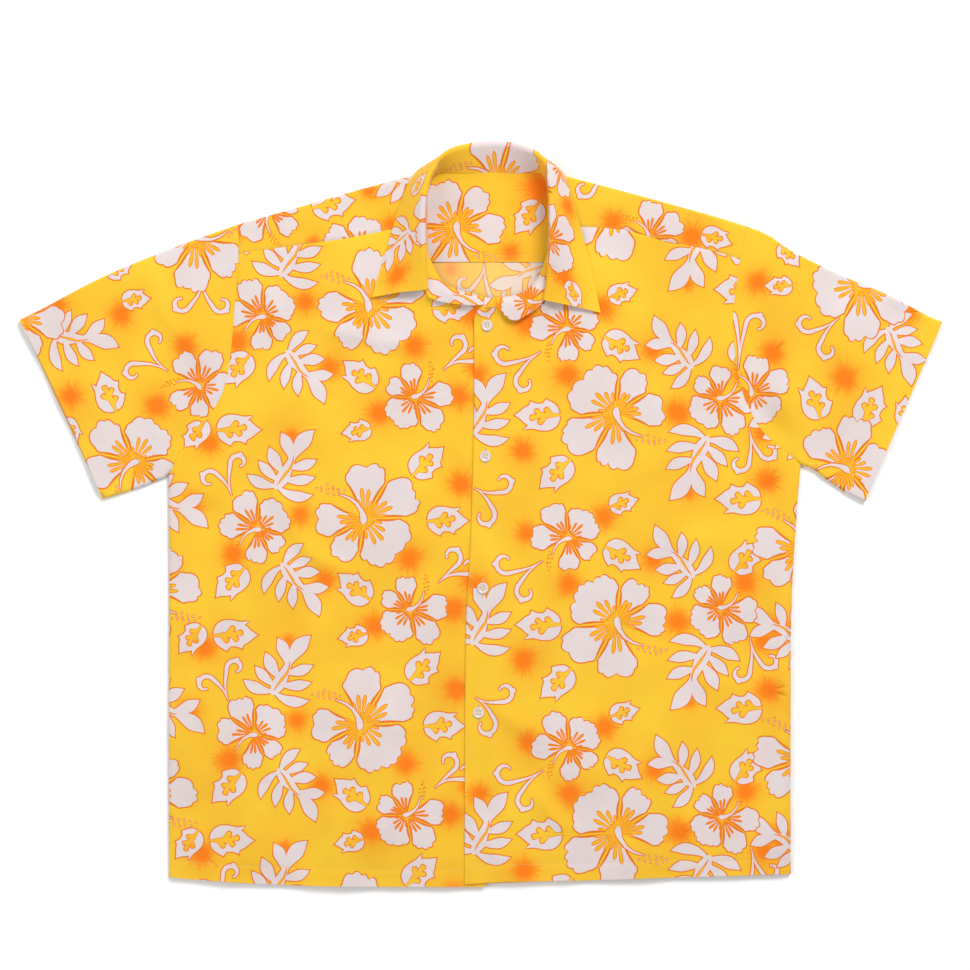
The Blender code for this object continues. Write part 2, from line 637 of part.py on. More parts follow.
def collar_section(row):
    """Points from the neck seam up the stand, round the roll and down the fall to the outer edge."""
    seam, roll, knee, edge = (np.array(row[i : i + 3]) for i in (0, 3, 6, 9))
    up = np.array([0.0, 0.0, 1.0])
    across = roll - seam if roll[1] > seam[1] + 3 * ROLL_RADIUS else edge - seam
    away = across * (1, 1, 0)
    away /= np.linalg.norm(away)
    first = math.atan2((roll - seam) @ away, seam[2] - roll[2])
    last = math.atan2((knee - roll) @ away, roll[2] - knee[2])
    angles = np.linspace(first, last, ROLL_POINTS)
    turn = [roll + ROLL_RADIUS * (math.cos(angle) * away + math.sin(angle) * up) for angle in angles]
    stand = [seam + (turn[0] - seam) * share for share in STAND_SHARES]
    return np.array([*stand, *turn, (turn[-1] + knee) / 2, knee, (knee + edge) / 2, edge])


def build_collar(paint):
    sections = np.array([collar_section(row) for row in COLLAR_STATIONS])
    count, across = sections.shape[:2]
    faces = []
    for i in range(count - 1):
        for j in range(across - 1):
            corner = i * across + j
            faces.append((corner + across, corner + across + 1, corner + 1, corner))
    cloth("collar", [(sections.reshape(-1, 3), np.array(faces))], paint, COLLAR_WALL)


def build_button(name, centre, seat, paint):
    """A round button, dished inside its rim, with four holes for the thread."""
    outline = ring((0, 0), BUTTON_RADIUS, BUTTON_POINTS)
    places = BUTTON_HOLE_OFFSET * np.array([(-1, -1), (-1, 1), (1, -1), (1, 1)])
    holes = [ring(place, BUTTON_HOLE_RADIUS, HOLE_POINTS) for place in places]
    dish = [ring((0, 0), BUTTON_RADIUS - share * BUTTON_RIM, BUTTON_POINTS) for share in (0.5, 1.0)]
    corners, faces = flat_sheet(outline, BUTTON_RADIUS, extra=dish, holes=holes)
    radius = np.linalg.norm(corners, axis=1)
    rim = ease(radius, BUTTON_RADIUS - BUTTON_RIM, BUTTON_RADIUS - 0.4 * BUTTON_RIM)
    top = seat + BUTTON_THICKNESS - BUTTON_DISH * (1 - rim)
    mesh = bmesh.new()
    rows = []
    for heights in (top, np.full(len(corners), seat)):
        rows.append([mesh.verts.new((*(corner + centre), z)) for corner, z in zip(corners, heights)])
    for a, b, c in faces:
        mesh.faces.new([rows[0][i] for i in (a, b, c)])
        mesh.faces.new([rows[1][i] for i in (c, b, a)])
    start = 0
    for one, turn in ((outline, 1), *((hole, -1) for hole in holes)):
        for i in range(len(one)):
            a, b = start + i, start + (i + 1) % len(one)
            corners_of_wall = [rows[1][a], rows[1][b], rows[0][b], rows[0][a]]
            mesh.faces.new(corners_of_wall[::turn])
        start += len(one)
    bmesh.ops.delete(mesh, geom=[v for v in mesh.verts if not v.link_faces], context="VERTS")
    add_piece(name, mesh, paint)


def build_buttons(paint):
    side, arc = curve(SIDE_LEFT), curve(NECK_ARC_LEFT, FINE_STEP)
    for number, centre in enumerate(BUTTONS, 1):
        around = np.vstack([[centre], ring(centre, BUTTON_RADIUS, 8)])
        seat = front_height(around, side, arc, True).max() + SEAM_GAP
        build_button(f"button_{number}", np.array(centre), seat, paint)


def main():
    clear_scene()
    printed = material("printed_cotton", YELLOW, 0.8)
    build_back(printed)
    build_yoke(printed)
    build_yoke_facing(printed)
    build_fronts(printed)
    build_facings(printed)
    build_sleeve("sleeve_right", SLEEVE_TOP_RIGHT, SLEEVE_LOW_RIGHT, ARMHOLE_RIGHT, 1, CUFF_PEEK, printed)
    build_sleeve("sleeve_left", SLEEVE_TOP_LEFT, SLEEVE_LOW_LEFT, ARMHOLE_LEFT, -1, 0.0, printed)
    build_collar(printed)
    build_buttons(material("pearl_button", PEARL, 0.3))


if __name__ == "__main__":
    main()
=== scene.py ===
"""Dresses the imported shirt: printed cotton shells, stitched seams, pearl buttons, floor, lights and camera.

The tables are in millimetres and become metres where a mesh is made. Sides are the wearer's: right is -X.
"""

import json
import math

import bmesh
import bpy
import numpy as np
from mathutils import Matrix, Vector, kdtree
from mathutils.bvhtree import BVHTree
from mathutils.geometry import delaunay_2d_cdt

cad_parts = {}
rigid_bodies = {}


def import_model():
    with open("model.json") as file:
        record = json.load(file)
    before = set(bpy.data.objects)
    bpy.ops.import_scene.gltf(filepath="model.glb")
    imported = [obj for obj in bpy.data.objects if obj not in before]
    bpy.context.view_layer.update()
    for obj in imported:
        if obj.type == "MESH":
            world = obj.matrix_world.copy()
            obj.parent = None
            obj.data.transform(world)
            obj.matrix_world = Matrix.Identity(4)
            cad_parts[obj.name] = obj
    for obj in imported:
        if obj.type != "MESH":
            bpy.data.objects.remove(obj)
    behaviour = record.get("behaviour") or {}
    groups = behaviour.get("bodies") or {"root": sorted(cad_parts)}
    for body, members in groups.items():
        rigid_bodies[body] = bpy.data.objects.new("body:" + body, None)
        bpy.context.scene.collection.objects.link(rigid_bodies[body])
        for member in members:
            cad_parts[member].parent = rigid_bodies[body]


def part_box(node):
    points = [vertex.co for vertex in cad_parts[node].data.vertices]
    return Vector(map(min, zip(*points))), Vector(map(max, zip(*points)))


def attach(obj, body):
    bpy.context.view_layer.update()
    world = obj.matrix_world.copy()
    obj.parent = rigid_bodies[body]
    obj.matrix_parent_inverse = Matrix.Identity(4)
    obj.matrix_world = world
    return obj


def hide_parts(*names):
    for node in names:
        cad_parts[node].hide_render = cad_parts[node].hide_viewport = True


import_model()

bl_info = {
    "name": "Hawaiian Shirt",
    "version": (1, 0, 0),
    "blender": (4, 5, 0),
    "location": "View3D > Sidebar > Shirt",
    "description": "Builds a buttoned short-sleeved shirt with a flower print, laid flat",
    "category": "Add Mesh",
}

MM = 0.001

# Cloth: rise from one layer to the next, gap in a seam, thickness of the collar
LAYER = 1.5
SEAM_GAP = 0.04
COLLAR_WALL = 1.4
# How near two corners are one, how near an edge a corner lies on it, and how exactly the print is cut
WELD = 0.02
ON_EDGE = 0.005
CUT_PRECISION = 0.01
# Spacing of the points that fill the upper side, the under side, the back, the collar and the facings
FILL_TOP = 6.0
FILL_UNDER = 9.0
FILL_BACK = 10.0
FILL_COLLAR = 3.6
FILL_FACING = 3.5
# Steps along long edges, shoulders and tight bends
EDGE_STEP = 20.0
SHOULDER_STEP = 10.0
FINE_STEP = 6.0

# Heights above the table, and how wide the folds and the sides are rounded
TOP_HEIGHT = 5.6
FOLD_HEIGHT = TOP_HEIGHT / 2
FOLD_ROUND = 2.8
SIDE_HEIGHT = LAYER + 0.9
SIDE_ROUND = 5.0
# Where the left front comes down to the right one's level: x
PLACKET_BLEND = (25.0, 60.0)
# Seams, band, hems, cuffs and pleat: how far each dips or rises, how far that reaches, where its fold lies
SEAM_DIP = 0.8
SEAM_DIP_REACH = 1.5
PUCKER = 0.22
PUCKER_REACH = 5.0
BAND_WIDTH = 26.8
BAND_RISE = 0.7
BAND_GROOVE = 0.5
BAND_EDGE_FALL = 0.9
HEM_TURN = 17.0
HEM_RISE = 0.25
HEM_GROOVE = 0.35
HEM_DROOP = 1.0
HEM_DROOP_REACH = 26.0
CUFF_TURN = 20.0
CUFF_RISE = 0.3
PLEAT_RISE = 0.45

# Rows of points beside an edge that bends, and beside a seam
FOLD_ROWS = (0.15, 0.5, 1.1, 1.9, 2.8, 4.2)
SIDE_ROWS = (0.2, 0.7, 1.5, 2.7, 4.0, 5.4)
SEAM_ROWS = (0.8, 1.8, 3.2, 5.0)
NECK_ROWS = (1.2, 2.6, 4.4, 6.6, 9.5, 13.0)
HEM_ROWS = (0.5, 1.6, 5.0, 15.6, HEM_TURN, 18.4)
BAND_ROWS = (0.3, 0.9, 1.7, 25.6, BAND_WIDTH, 28.2)
CUFF_ROWS = (18.6, CUFF_TURN, 21.4)

# Folds and side edges: x, y
SHOULDER_RIGHT = ((-242.5, 289.9), (-186.0, 306.0), (-129.0, 322.5), (-90.0, 333.0), (-55.8, 342.0))
SHOULDER_LEFT = ((266.0, 287.7), (231.0, 298.5), (159.0, 318.5), (112.0, 331.0), (69.2, 342.0))
SLEEVE_TOP_RIGHT = ((-242.5, 289.9), (-309.0, 266.0), (-381.0, 236.0), (-433.0, 208.5), (-461.0, 194.5))
SLEEVE_TOP_LEFT = (
    (266.0, 287.7), (279.0, 283.0), (291.0, 277.0), (303.0, 267.8), (315.0, 260.5), (363.0, 237.5),
    (411.0, 217.5), (445.0, 199.0), (461.0, 192.5),
)
SLEEVE_LOW_RIGHT = ((-312.5, 38.5), (-337.0, 28.5), (-378.0, 15.5))
SLEEVE_LOW_LEFT = ((319.5, 50.5), (332.0, 45.5), (345.0, 35.0), (362.0, 23.5), (383.0, 12.5))
SIDE_RIGHT = ((-312.5, 38.5), (-311.5, -60.0), (-312.0, -220.0), (-311.5, -362.5))
SIDE_LEFT = ((319.5, 50.5), (315.5, 0.0), (310.5, -90.0), (309.5, -220.0), (309.5, -359.0))
CUFF_PEEK = 2.5

# Seams: x, y
ARMHOLE_RIGHT = (
    (-242.5, 289.9), (-242.5, 245.0), (-245.4, 213.5), (-250.6, 157.5), (-259.0, 119.5), (-280.0, 86.5),
    (-300.0, 63.5), (-312.5, 38.5),
)
ARMHOLE_LEFT = (
    (266.0, 287.7), (260.4, 262.5), (255.0, 230.0), (251.8, 192.0), (254.5, 154.5), (263.0, 116.5),
    (276.0, 89.5), (297.0, 68.0), (319.5, 50.5),
)
BACK_ARMHOLE_EASE = 7.0
BACK_SEAM_Y = 252.5
# The centre-back pleat, folded between these x
BACK_PLEAT = (4.0, 15.5)
FRONT_SEAM_RIGHT = ((-245.0, 260.5), (-177.0, 270.1), (-136.0, 275.7), (-87.0, 285.5), (-55.8, 292.0))
FRONT_SEAM_LEFT = (
    (261.0, 255.2), (220.5, 266.0), (180.0, 273.8), (143.0, 284.5), (101.0, 287.5), (69.2, 292.0),
)

# Hems: x, y
HEM_RIGHT = ((-311.5, -362.5), (-261.0, -366.5), (-207.0, -369.5), (-141.0, -371.5), (4.0, -372.0))
HEM_LEFT = (
    (-16.5, -369.5), (27.0, -366.8), (111.0, -365.5), (195.0, -362.5), (259.0, -363.0), (309.5, -359.0),
)
HEM_BACK = ((-311.5, -362.5), (-150.0, -368.0), (0.0, -369.0), (150.0, -362.0), (309.5, -359.0))

# Centre front: x, y
PLACKET_EDGE = ((-3.0, 203.5), (-7.0, 196.5), (-7.0, 104.5), (-10.3, -25.5), (-15.3, -125.5), (-16.5, -369.5))

# Neckline of the two fronts, from the shoulder seam round to the centre front: x, y
NECK_SIDE_RIGHT = ((-55.8, 292.0), (-55.8, 262.0))
NECK_ARC_RIGHT = (
    (-55.8, 262.0), (-55.6, 238.0), (-55.6, 225.0), (-54.4, 221.0), (-49.0, 219.6), (-36.0, 218.8),
    (-18.0, 216.0), (4.0, 210.5),
)
NECK_SIDE_LEFT = ((69.2, 292.0), (69.2, 262.0))
NECK_ARC_LEFT = (
    (69.2, 262.0), (67.6, 243.0), (66.1, 226.0), (64.6, 214.5), (62.8, 210.6), (56.0, 210.4), (44.0, 209.0),
    (32.0, 207.5), (22.0, 207.8), (14.0, 209.2), (2.0, 208.5), (-3.0, 203.5),
)
NECK_RISE = 5.0
NECK_RISE_REACH = 8.5
NECK_RISE_START = (262.0, 238.0)

# How far the yoke's facing runs on under the collar
FACING_TUCK = 3.8

# Back neckline, where the collar's seam is: x, y
NECK_BACK = ((-55.8, 342.0), (-46.0, 338.6), (-20.0, 338.4), (30.0, 338.4), (60.0, 338.4), (69.2, 342.0))

# The fall of the collar lies under this part of the yoke, which it lifts
FALL_BOX = ((-60.0, 318.0), (84.0, 352.0))
FALL_LIFT = COLLAR_WALL + 0.6
FALL_FADE = 16.0

# Rolled-out facings: outline from the inner, rolled edge to the free edge: x, y
FACING_RIGHT_INNER = (
    (-55.6, 272.0), (-50.2, 255.0), (-43.5, 241.0), (-36.0, 230.5), (-21.0, 224.5), (6.5, 217.0),
)
FACING_RIGHT_OUTER = ((6.5, 211.0), (-4.0, 208.5), (-32.0, 211.0), (-52.6, 216.8), (-55.4, 224.0))
FACING_LEFT_INNER = (
    (3.4, 216.5), (17.0, 217.5), (31.0, 218.5), (46.0, 225.5), (56.0, 236.0), (63.0, 252.0), (68.4, 272.0),
)
FACING_LEFT_OUTER = (
    (66.6, 232.0), (62.4, 212.0), (57.0, 206.5), (49.0, 200.8), (36.0, 193.8), (27.0, 195.8), (20.0, 203.0),
)
FACING_LEFT_JOIN = ((16.0, 207.0), (3.4, 206.4))
FACING_CREST = 13.4
FACING_CENTRE_FALL = 1.1
FACING_CENTRE_REACH = 14.0
FACING_CENTRE_X = 4.0
FACING_INNER_Z = 5.2
FACING_ROLL = 9.0
FACING_SLOPE = 0.10
FACING_ROWS = (0.2, 0.7, 1.6, 3.0, 5.0, 8.0)

# Collar stations from the right front end round the back to the left front end.
# Columns: neck seam x, y, z; middle of the roll x, y, z; knee of the fall x, y, z; outer edge x, y, z
COLLAR_STATIONS = (
    (-53.2, 222.5, 9.8, -55.5, 224.0, 14.5, -82.0, 221.5, 13.0, -109.0, 217.0, 9.4),
    (-53.4, 236.0, 7.5, -56.2, 237.0, 19.0, -80.5, 235.0, 14.8, -104.5, 232.0, 7.8),
    (-53.6, 259.0, 5.4, -57.0, 260.0, 26.0, -77.0, 260.0, 18.2, -96.0, 259.5, 7.6),
    (-53.7, 284.0, 4.8, -57.8, 286.0, 30.5, -74.0, 286.5, 20.8, -88.0, 287.0, 7.6),
    (-53.7, 304.0, 4.8, -57.5, 307.0, 32.0, -71.0, 306.5, 21.8, -82.5, 306.0, 7.8),
    (-52.6, 321.0, 6.0, -54.8, 326.0, 32.0, -66.0, 325.0, 22.3, -76.0, 323.5, 9.0),
    (-50.0, 332.5, 7.0, -50.5, 339.5, 31.0, -61.0, 338.0, 22.0, -69.5, 335.8, 9.8),
    (-47.0, 338.5, 7.4, -46.5, 346.0, 29.5, -56.5, 345.5, 20.5, -64.0, 343.5, 8.4),
    (-43.0, 340.6, 7.2, -43.0, 351.5, 28.0, -51.5, 351.0, 17.5, -58.5, 347.6, 4.6),
    (-38.0, 341.2, 6.8, -38.5, 356.5, 26.0, -45.5, 353.5, 13.0, -50.0, 347.6, 0.8),
    (-30.0, 341.2, 6.5, -31.0, 361.5, 23.5, -37.0, 347.5, 1.0, -40.0, 340.0, 0.0),
    (-14.0, 340.9, 6.3, -15.0, 366.8, 20.5, -19.5, 344.0, 0.4, -22.0, 326.0, 0.0),
    (7.0, 340.7, 6.2, 6.5, 369.3, 19.0, 7.0, 344.0, 0.3, 7.0, 322.0, 0.0),
    (30.0, 340.9, 6.3, 31.0, 367.8, 19.5, 35.0, 345.0, 0.3, 39.0, 328.0, 0.0),
    (45.0, 341.2, 6.5, 48.0, 362.6, 23.0, 54.5, 348.0, 0.8, 58.5, 340.0, 0.0),
    (54.0, 341.2, 6.9, 57.5, 357.0, 26.0, 64.5, 352.0, 11.0, 69.0, 345.6, 0.8),
    (59.5, 340.6, 7.2, 63.0, 351.5, 28.0, 71.5, 350.5, 17.5, 77.5, 345.4, 4.6),
    (63.0, 337.0, 7.4, 66.5, 345.5, 29.5, 76.0, 345.0, 20.5, 82.5, 341.0, 8.4),
    (65.0, 329.5, 7.0, 68.0, 337.0, 31.0, 78.0, 337.5, 22.0, 85.0, 335.0, 9.8),
    (66.3, 315.0, 6.0, 69.2, 321.5, 32.0, 80.0, 324.0, 22.3, 88.5, 324.5, 9.0),
    (66.8, 297.0, 4.8, 70.2, 302.0, 32.0, 83.5, 305.0, 21.8, 94.0, 306.5, 7.8),
    (66.8, 276.0, 4.8, 70.5, 280.0, 30.5, 87.5, 279.5, 20.8, 102.0, 277.5, 7.6),
    (66.1, 253.0, 5.4, 69.6, 256.0, 26.0, 91.0, 252.0, 18.2, 110.0, 247.0, 7.6),
    (64.3, 229.0, 7.5, 67.2, 231.5, 18.5, 92.5, 225.5, 14.6, 116.0, 219.0, 7.9),
    (61.6, 212.5, 9.8, 63.7, 213.5, 14.0, 91.5, 208.0, 13.0, 119.5, 201.5, 9.4),
)
ROLL_RADIUS = 2.8
ROLL_POINTS = 9
STAND_SHARES = (0.0, 0.35, 0.7)
COLLAR_DEPTH = 75.0
COLLAR_STEPS = 41
COLLAR_LOWEST = 0.65

# Folds and hollows of the upper layer. Columns: half width; height; then x, y of the points along it
FOLDS = (
    (14.0, 3.6, (306, 264), (299, 214), (303, 120), (314, 84)),
    (12.0, 1.2, (362, 218), (352, 150)),
    (12.0, 1.3, (408, 192), (372, 96)),
    (11.0, 3.4, (-334, 262), (-324, 226), (-312, 196), (-289, 170), (-267, 148)),
    (12.0, 1.2, (-404, 206), (-392, 150), (-366, 60)),
    (9.0, -1.6, (262, 128), (300, 72)),
    (14.0, 1.6, (282, 132), (330, 78)),
    (9.0, -1.4, (-270, 112), (-306, 66)),
    (14.0, 1.4, (-292, 118), (-330, 66)),
    (8.0, 1.4, (-291, 31), (-259, 14)),
    (9.0, 3.0, (-219, 46), (-205, 24), (-191, -2), (-180, -26), (-165, -42), (-143, -54), (-119, -60)),
    (9.0, 1.2, (-84, 2), (-66, -20), (-40, -40)),
    (8.0, 2.4, (-168, 188), (-141, 183), (-106, 175), (-69, 169)),
    (9.0, 0.9, (-200, 120), (-150, 128), (-100, 118)),
    (12.0, -1.8, (-26, 134), (-16, 84)),
    (13.0, 3.4, (-291, 12), (-290, -100), (-292, -325)),
    (50.0, 5.0, (-122, -150), (-116, -366)),
    (22.0, 1.6, (-215, -120), (-224, -340)),
    (8.0, 2.2, (-151, -278), (-147, -352)),
    (9.0, 1.5, (-100, -186), (-79, -226)),
    (8.0, 2.2, (10, -186), (31, -206), (59, -224)),
    (8.0, 2.6, (44, -264), (62, -290), (79, -308), (101, -321)),
    (6.0, 1.1, (19, -284), (32, -310)),
    (10.0, 3.4, (299, -56), (303, -100), (300, -200), (293, -332)),
    (18.0, -2.2, (277, -96), (273, -200), (268, -326)),
    (7.0, -1.6, (281, 23), (309, 41)),
    (38.0, 4.0, (150, 214), (132, 120), (112, -60)),
    (30.0, 2.4, (66, 150), (60, 40), (72, -120)),
    (16.0, 2.6, (176, -28), (262, -22)),
    (14.0, 1.3, (120, 38), (184, 44)),
    (14.0, 1.3, (196, 178), (236, 196)),
    (24.0, 2.4, (168, -120), (178, -220), (160, -352)),
    (12.0, 1.2, (214, -150), (240, -180)),
    (8.0, 1.1, (-230, -310), (-226, -360)),
    (8.0, 1.0, (205, -300), (214, -356)),
    (10.0, 0.9, (120, 262), (150, 216)),
    (9.0, -0.8, (-110, 262), (-140, 226)),
    (10.0, 1.0, (-228, 236), (-206, 206), (-200, 170)),
)
FOLD_ENDS = 0.3
FOLD_GAIN = 1.25
# Round each button the cloth lies flat within the first reach and is free again beyond the second
BUTTON_CALM = (7.0, 22.0)

# Buttons: centre x, y on the band, top to bottom
BUTTONS = ((6.1, 188.8), (4.4, 58.1), (1.7, -73.6), (-2.4, -197.8))
BUTTON_RADIUS = 5.7
BUTTON_HOLE_RADIUS = 0.72
BUTTON_HOLE_OFFSET = 1.4
BUTTON_TURNS = (8.0, -17.0, 33.0, 4.0)
BUTTONHOLE_LENGTH = 15.0
BUTTONHOLE_OPENING = 0.7
# Columns: radius; depth of the top below its highest point; height of the underside above its lowest
BUTTON_PROFILE = (
    (0.0, 0.55, 0.0), (3.3, 0.5, 0.0), (3.7, 0.38, 0.0), (4.0, 0.16, 0.0), (4.3, 0.04, 0.05),
    (4.7, 0.0, 0.12), (5.1, 0.06, 0.26), (5.4, 0.2, 0.44), (5.6, 0.44, 0.64), (5.7, 0.8, 0.82),
)
BUTTON_POINTS = 40
# Stitches of a buttonhole's edges: pitch, length, distance from the slit's middle
HOLE_STITCHES = (0.55, 1.25, 0.95)
# Stitches of its end bars: number, pitch, length
HOLE_BAR = (5, 0.42, 2.7)
# Strands of thread over each pair of a button's holes: distances from the holes' middle, and their length
BUTTON_STRANDS = (-0.32, 0.0, 0.32)
STRAND_LENGTH = 3.7
# Points round each of a button's holes, and how wide and how deep the lip is that runs round it
HOLE_POINTS = 12
HOLE_LIP = 0.25
HOLE_LIP_DEPTH = 0.14

# Stage, in metres: how far the floor lies below the shirt, each light's place and size, the camera's x and y
FLOOR_DROP = 0.0006
LIGHTS = (("key", (1.3, 2.4, 2.8), 1.5), ("fill", (-2.2, -0.2, 2.4), 2.4))
CAMERA_PLACE = (0.004, 0.0295)
# Strength of the even light all round
SKY_STRENGTH = 0.5

# A wave texture of this scale has one band in each unit of length
WAVE_SCALE = 0.314

# Flat sizes of the yoke, the sleeves and the collar as they are cut, in metres
YOKE_CUT = (0.51, 0.19)
SLEEVE_CUT = (0.50, 0.30)

# A stitch's height and how far its middle stands above the cloth, as shares of its width
STITCH_RISE = 0.8
STITCH_LIFT = 0.15

# Topstitching beside the yoke's seams, and the turned hem of the yoke facing
YOKE_STITCH = 1.8
FACING_HEM = 6.0
# How far the yoke facing's sides lie inside the shoulders
FACING_INSET = 5.2
# Heights of the yoke facing: its own, those of its hem and the groove in it, its bow, its rise to the neck
FACING_LIFT = 1.2
FACING_HEM_RISE = 0.4
FACING_GROOVE = 0.25
FACING_BOW = 0.5
FACING_TUCK_RISE = 1.7

# The print. Each panel's table lists its motifs by kind, and leaves out the kinds that it lacks.
# hibiscus: centre x, y; direction of the pistil; petal length
# fern: base x, y; direction of its rib; length of its rib
# bud: centre x, y; direction of its tip; length
# curl: tip of the stem x, y; then for each arm the centre of its curl x, y, its radius and its turn (1 or -1)
# burst: centre x, y; size
PRINT_RIGHT = {
    "hibiscus": (
        (-116.3, -4.4, 137, 52), (-223.1, -14.2, -137, 35), (-70.8, -95.3, 55, 34.5),
        (-331.0, -75.5, -40, 52),
    ),
    "fern": ((-203.0, 28.5, 61, 38), (-197.4, -51.8, -50, 35), (-331.0, 19.5, -25, 38)),
    "bud": (
        (-242.0, 84.5, 0, 45), (-286.3, 80.7, -130, 36), (-124.2, 83.6, 190, 30), (-53.0, 53.0, 42, 42),
        (-33.3, -6.3, 0, 42), (-126.2, -72.5, 140, 42), (-250.0, -67.5, -135, 42),
    ),
    "curl": (
        (-248.8, 18.4, -271.5, 35.2, 9.0, 1, -241.9, 52.0, 8.5, -1),
        (-43.2, -68.6, -29.3, -41.9, 10.0, 1, -13.0, -51.5, 8.0, 1),
    ),
    "burst": (
        (-271.5, 71.8, 1.0), (-188.5, 78.7, 0.6), (-20.4, 30.2, 1.0), (-180.6, -0.4, 0.9),
        (-288.3, 9.5, 0.9), (-247.8, -39.9, 1.0), (-71.8, -43.9, 1.0), (-155.9, -65.6, 0.9),
        (-27.4, -94.3, 1.0), (-106.4, -111.1, 1.0), (-9.0, -65.5, 0.9),
    ),
}
# One more burst on each front, by the neck. It is print that also paints the deep orange shade under the
# rolled-out facings: centre x, y; size
NECK_SHADE_BURSTS = ((-10.0, 202.0, 1.1), (45.0, 193.5, 1.1))
# Where each front's print is laid: shift x, y
REPEATS_RIGHT = ((5.0, 212.5), (0.0, 0.0), (-3.5, -205.0), (-7.0, -410.0))

PRINT_LEFT = {
    "hibiscus": (
        (134.0, 101.5, -40, 52), (87.0, -23.2, -132, 34), (239.9, -93.7, 45, 34), (322.0, -35.1, 125, 52),
    ),
    "fern": (
        (224.7, 74.4, -117, 40), (210.6, -60.0, 131, 35), (-7.0, -126.5, 65, 38), (319.0, -125.5, 150, 36),
    ),
    "bud": (
        (56.6, 99.3, 180, 46), (74.0, 40.8, -137, 42), (142.3, 11.5, 15, 30), (141.2, -42.7, -33, 42),
        (257.2, 15.8, 180, 46), (265.9, -42.7, 48, 40),
    ),
    "curl": (
        (-7.3, 26.7, 22.0, 32.1, 10.0, 1, 3.5, -1.5, 11.0, -1),
        (62.0, -46.0, 24.0, -48.1, 11.0, -1, 44.7, -77.4, 10.0, 1),
        (268.0, 85.2, 258.3, 51.6, 9.5, -1, 287.6, 63.5, 9.0, 1),
    ),
    "burst": (
        (41.5, 63.5, 1.0), (122.8, -2.5, 1.0), (45.8, -18.8, 0.9), (88.0, -69.8, 1.0), (197.6, 101.5, 1.0),
        (285.4, 33.2, 1.0), (263.7, -67.6, 1.0), (195.4, -106.7, 1.0), (172.6, -44.9, 0.9),
        (281.0, 82.0, 0.9), (-3.0, -69.8, 0.9), (298.4, -113.2, 1.0), (207.3, 21.5, 0.6),
    ),
}
REPEATS_LEFT = ((-1.0, 209.2), (0.0, 0.0), (1.0, -209.2), (2.0, -418.4))

PRINT_YOKE = {
    "hibiscus": ((-212.0, 302.6, -82, 33), (-120.5, 265.5, -100, 33), (168.0, 277.2, 135, 33)),
    "fern": ((-71.0, 334.5, 165, 36),),
    "bud": ((-147.6, 310.3, 10, 44), (235.0, 275.2, -20, 32)),
    "curl": ((119.0, 342.0, 103.0, 325.5, 9.5, -1, 135.0, 350.0, 8.0, -1),),
    "burst": (
        (-244.5, 286.0, 0.9), (-112.0, 324.0, 0.7), (-167.0, 272.0, 0.6), (-90.5, 289.5, 0.8),
        (132.0, 292.0, 1.0), (211.0, 277.0, 1.1),
    ),
}
PRINT_SLEEVE_RIGHT = {
    "hibiscus": (
        (-285.0, 277.0, 12, 48), (-346.5, 53.0, -115, 46), (-281.2, 128.5, 172, 34),
        (-463.0, 196.0, 100, 43),
    ),
    "fern": ((-424.0, 177.5, -5, 36),),
    "bud": (
        (-344.5, 214.5, 5, 29), (-372.0, 122.5, 110, 42), (-286.3, 77.5, -120, 34), (-361.0, 246.5, 30, 30),
        (-410.0, 83.5, -60, 28),
    ),
    "curl": (
        (-278.0, 236.7, -299.6, 211.2, 9.0, -1, -259.0, 210.3, 9.0, 1),
        (-312.0, 143.0, -325.0, 174.5, 9.0, -1, -347.5, 142.0, 9.0, 1),
    ),
    "burst": (
        (-359.0, 200.0, 1.0), (-295.5, 168.4, 1.0), (-323.6, 108.7, 1.0), (-410.0, 118.5, 1.0),
        (-424.0, 208.0, 0.9),
    ),
}
PRINT_SLEEVE_LEFT = {
    "hibiscus": ((379.6, 229.6, 17, 50), (365.3, 46.0, 185, 46), (271.0, 121.5, 130, 34)),
    "fern": ((407.0, 183.5, -63, 34),),
    "bud": (
        (333.7, 116.4, 105, 44), (389.8, 108.2, 62, 44), (297.0, 228.5, 180, 28), (308.0, 259.3, -50, 30),
        (424.0, 103.0, 90, 30),
    ),
    "curl": (
        (358.0, 197.0, 325.5, 191.9, 10.0, -1, 346.0, 164.5, 9.5, 1),
        (257.0, 144.0, 275.5, 190.0, 10.5, -1, 246.0, 196.0, 8.0, 1),
    ),
    "burst": ((364.0, 136.7, 1.15), (290.8, 161.2, 1.0), (276.5, 232.7, 1.0), (425.5, 202.0, 1.0)),
}
PRINT_YOKE_FACING = {
    "hibiscus": ((-25.3, 287.3, -47, 50), (180.0, 280.0, 120, 34), (-190.0, 275.0, 20, 34)),
    "fern": ((110.0, 270.0, 70, 34), (-110.0, 300.0, 250, 34)),
    "bud": ((46.5, 296.9, -128, 40),),
    "curl": ((95.0, 330.0, 78.0, 316.0, 8.0, -1, 112.0, 312.0, 8.0, 1),),
    "burst": ((58.0, 326.0, 1.5), (30.0, 262.0, 0.8)),
}
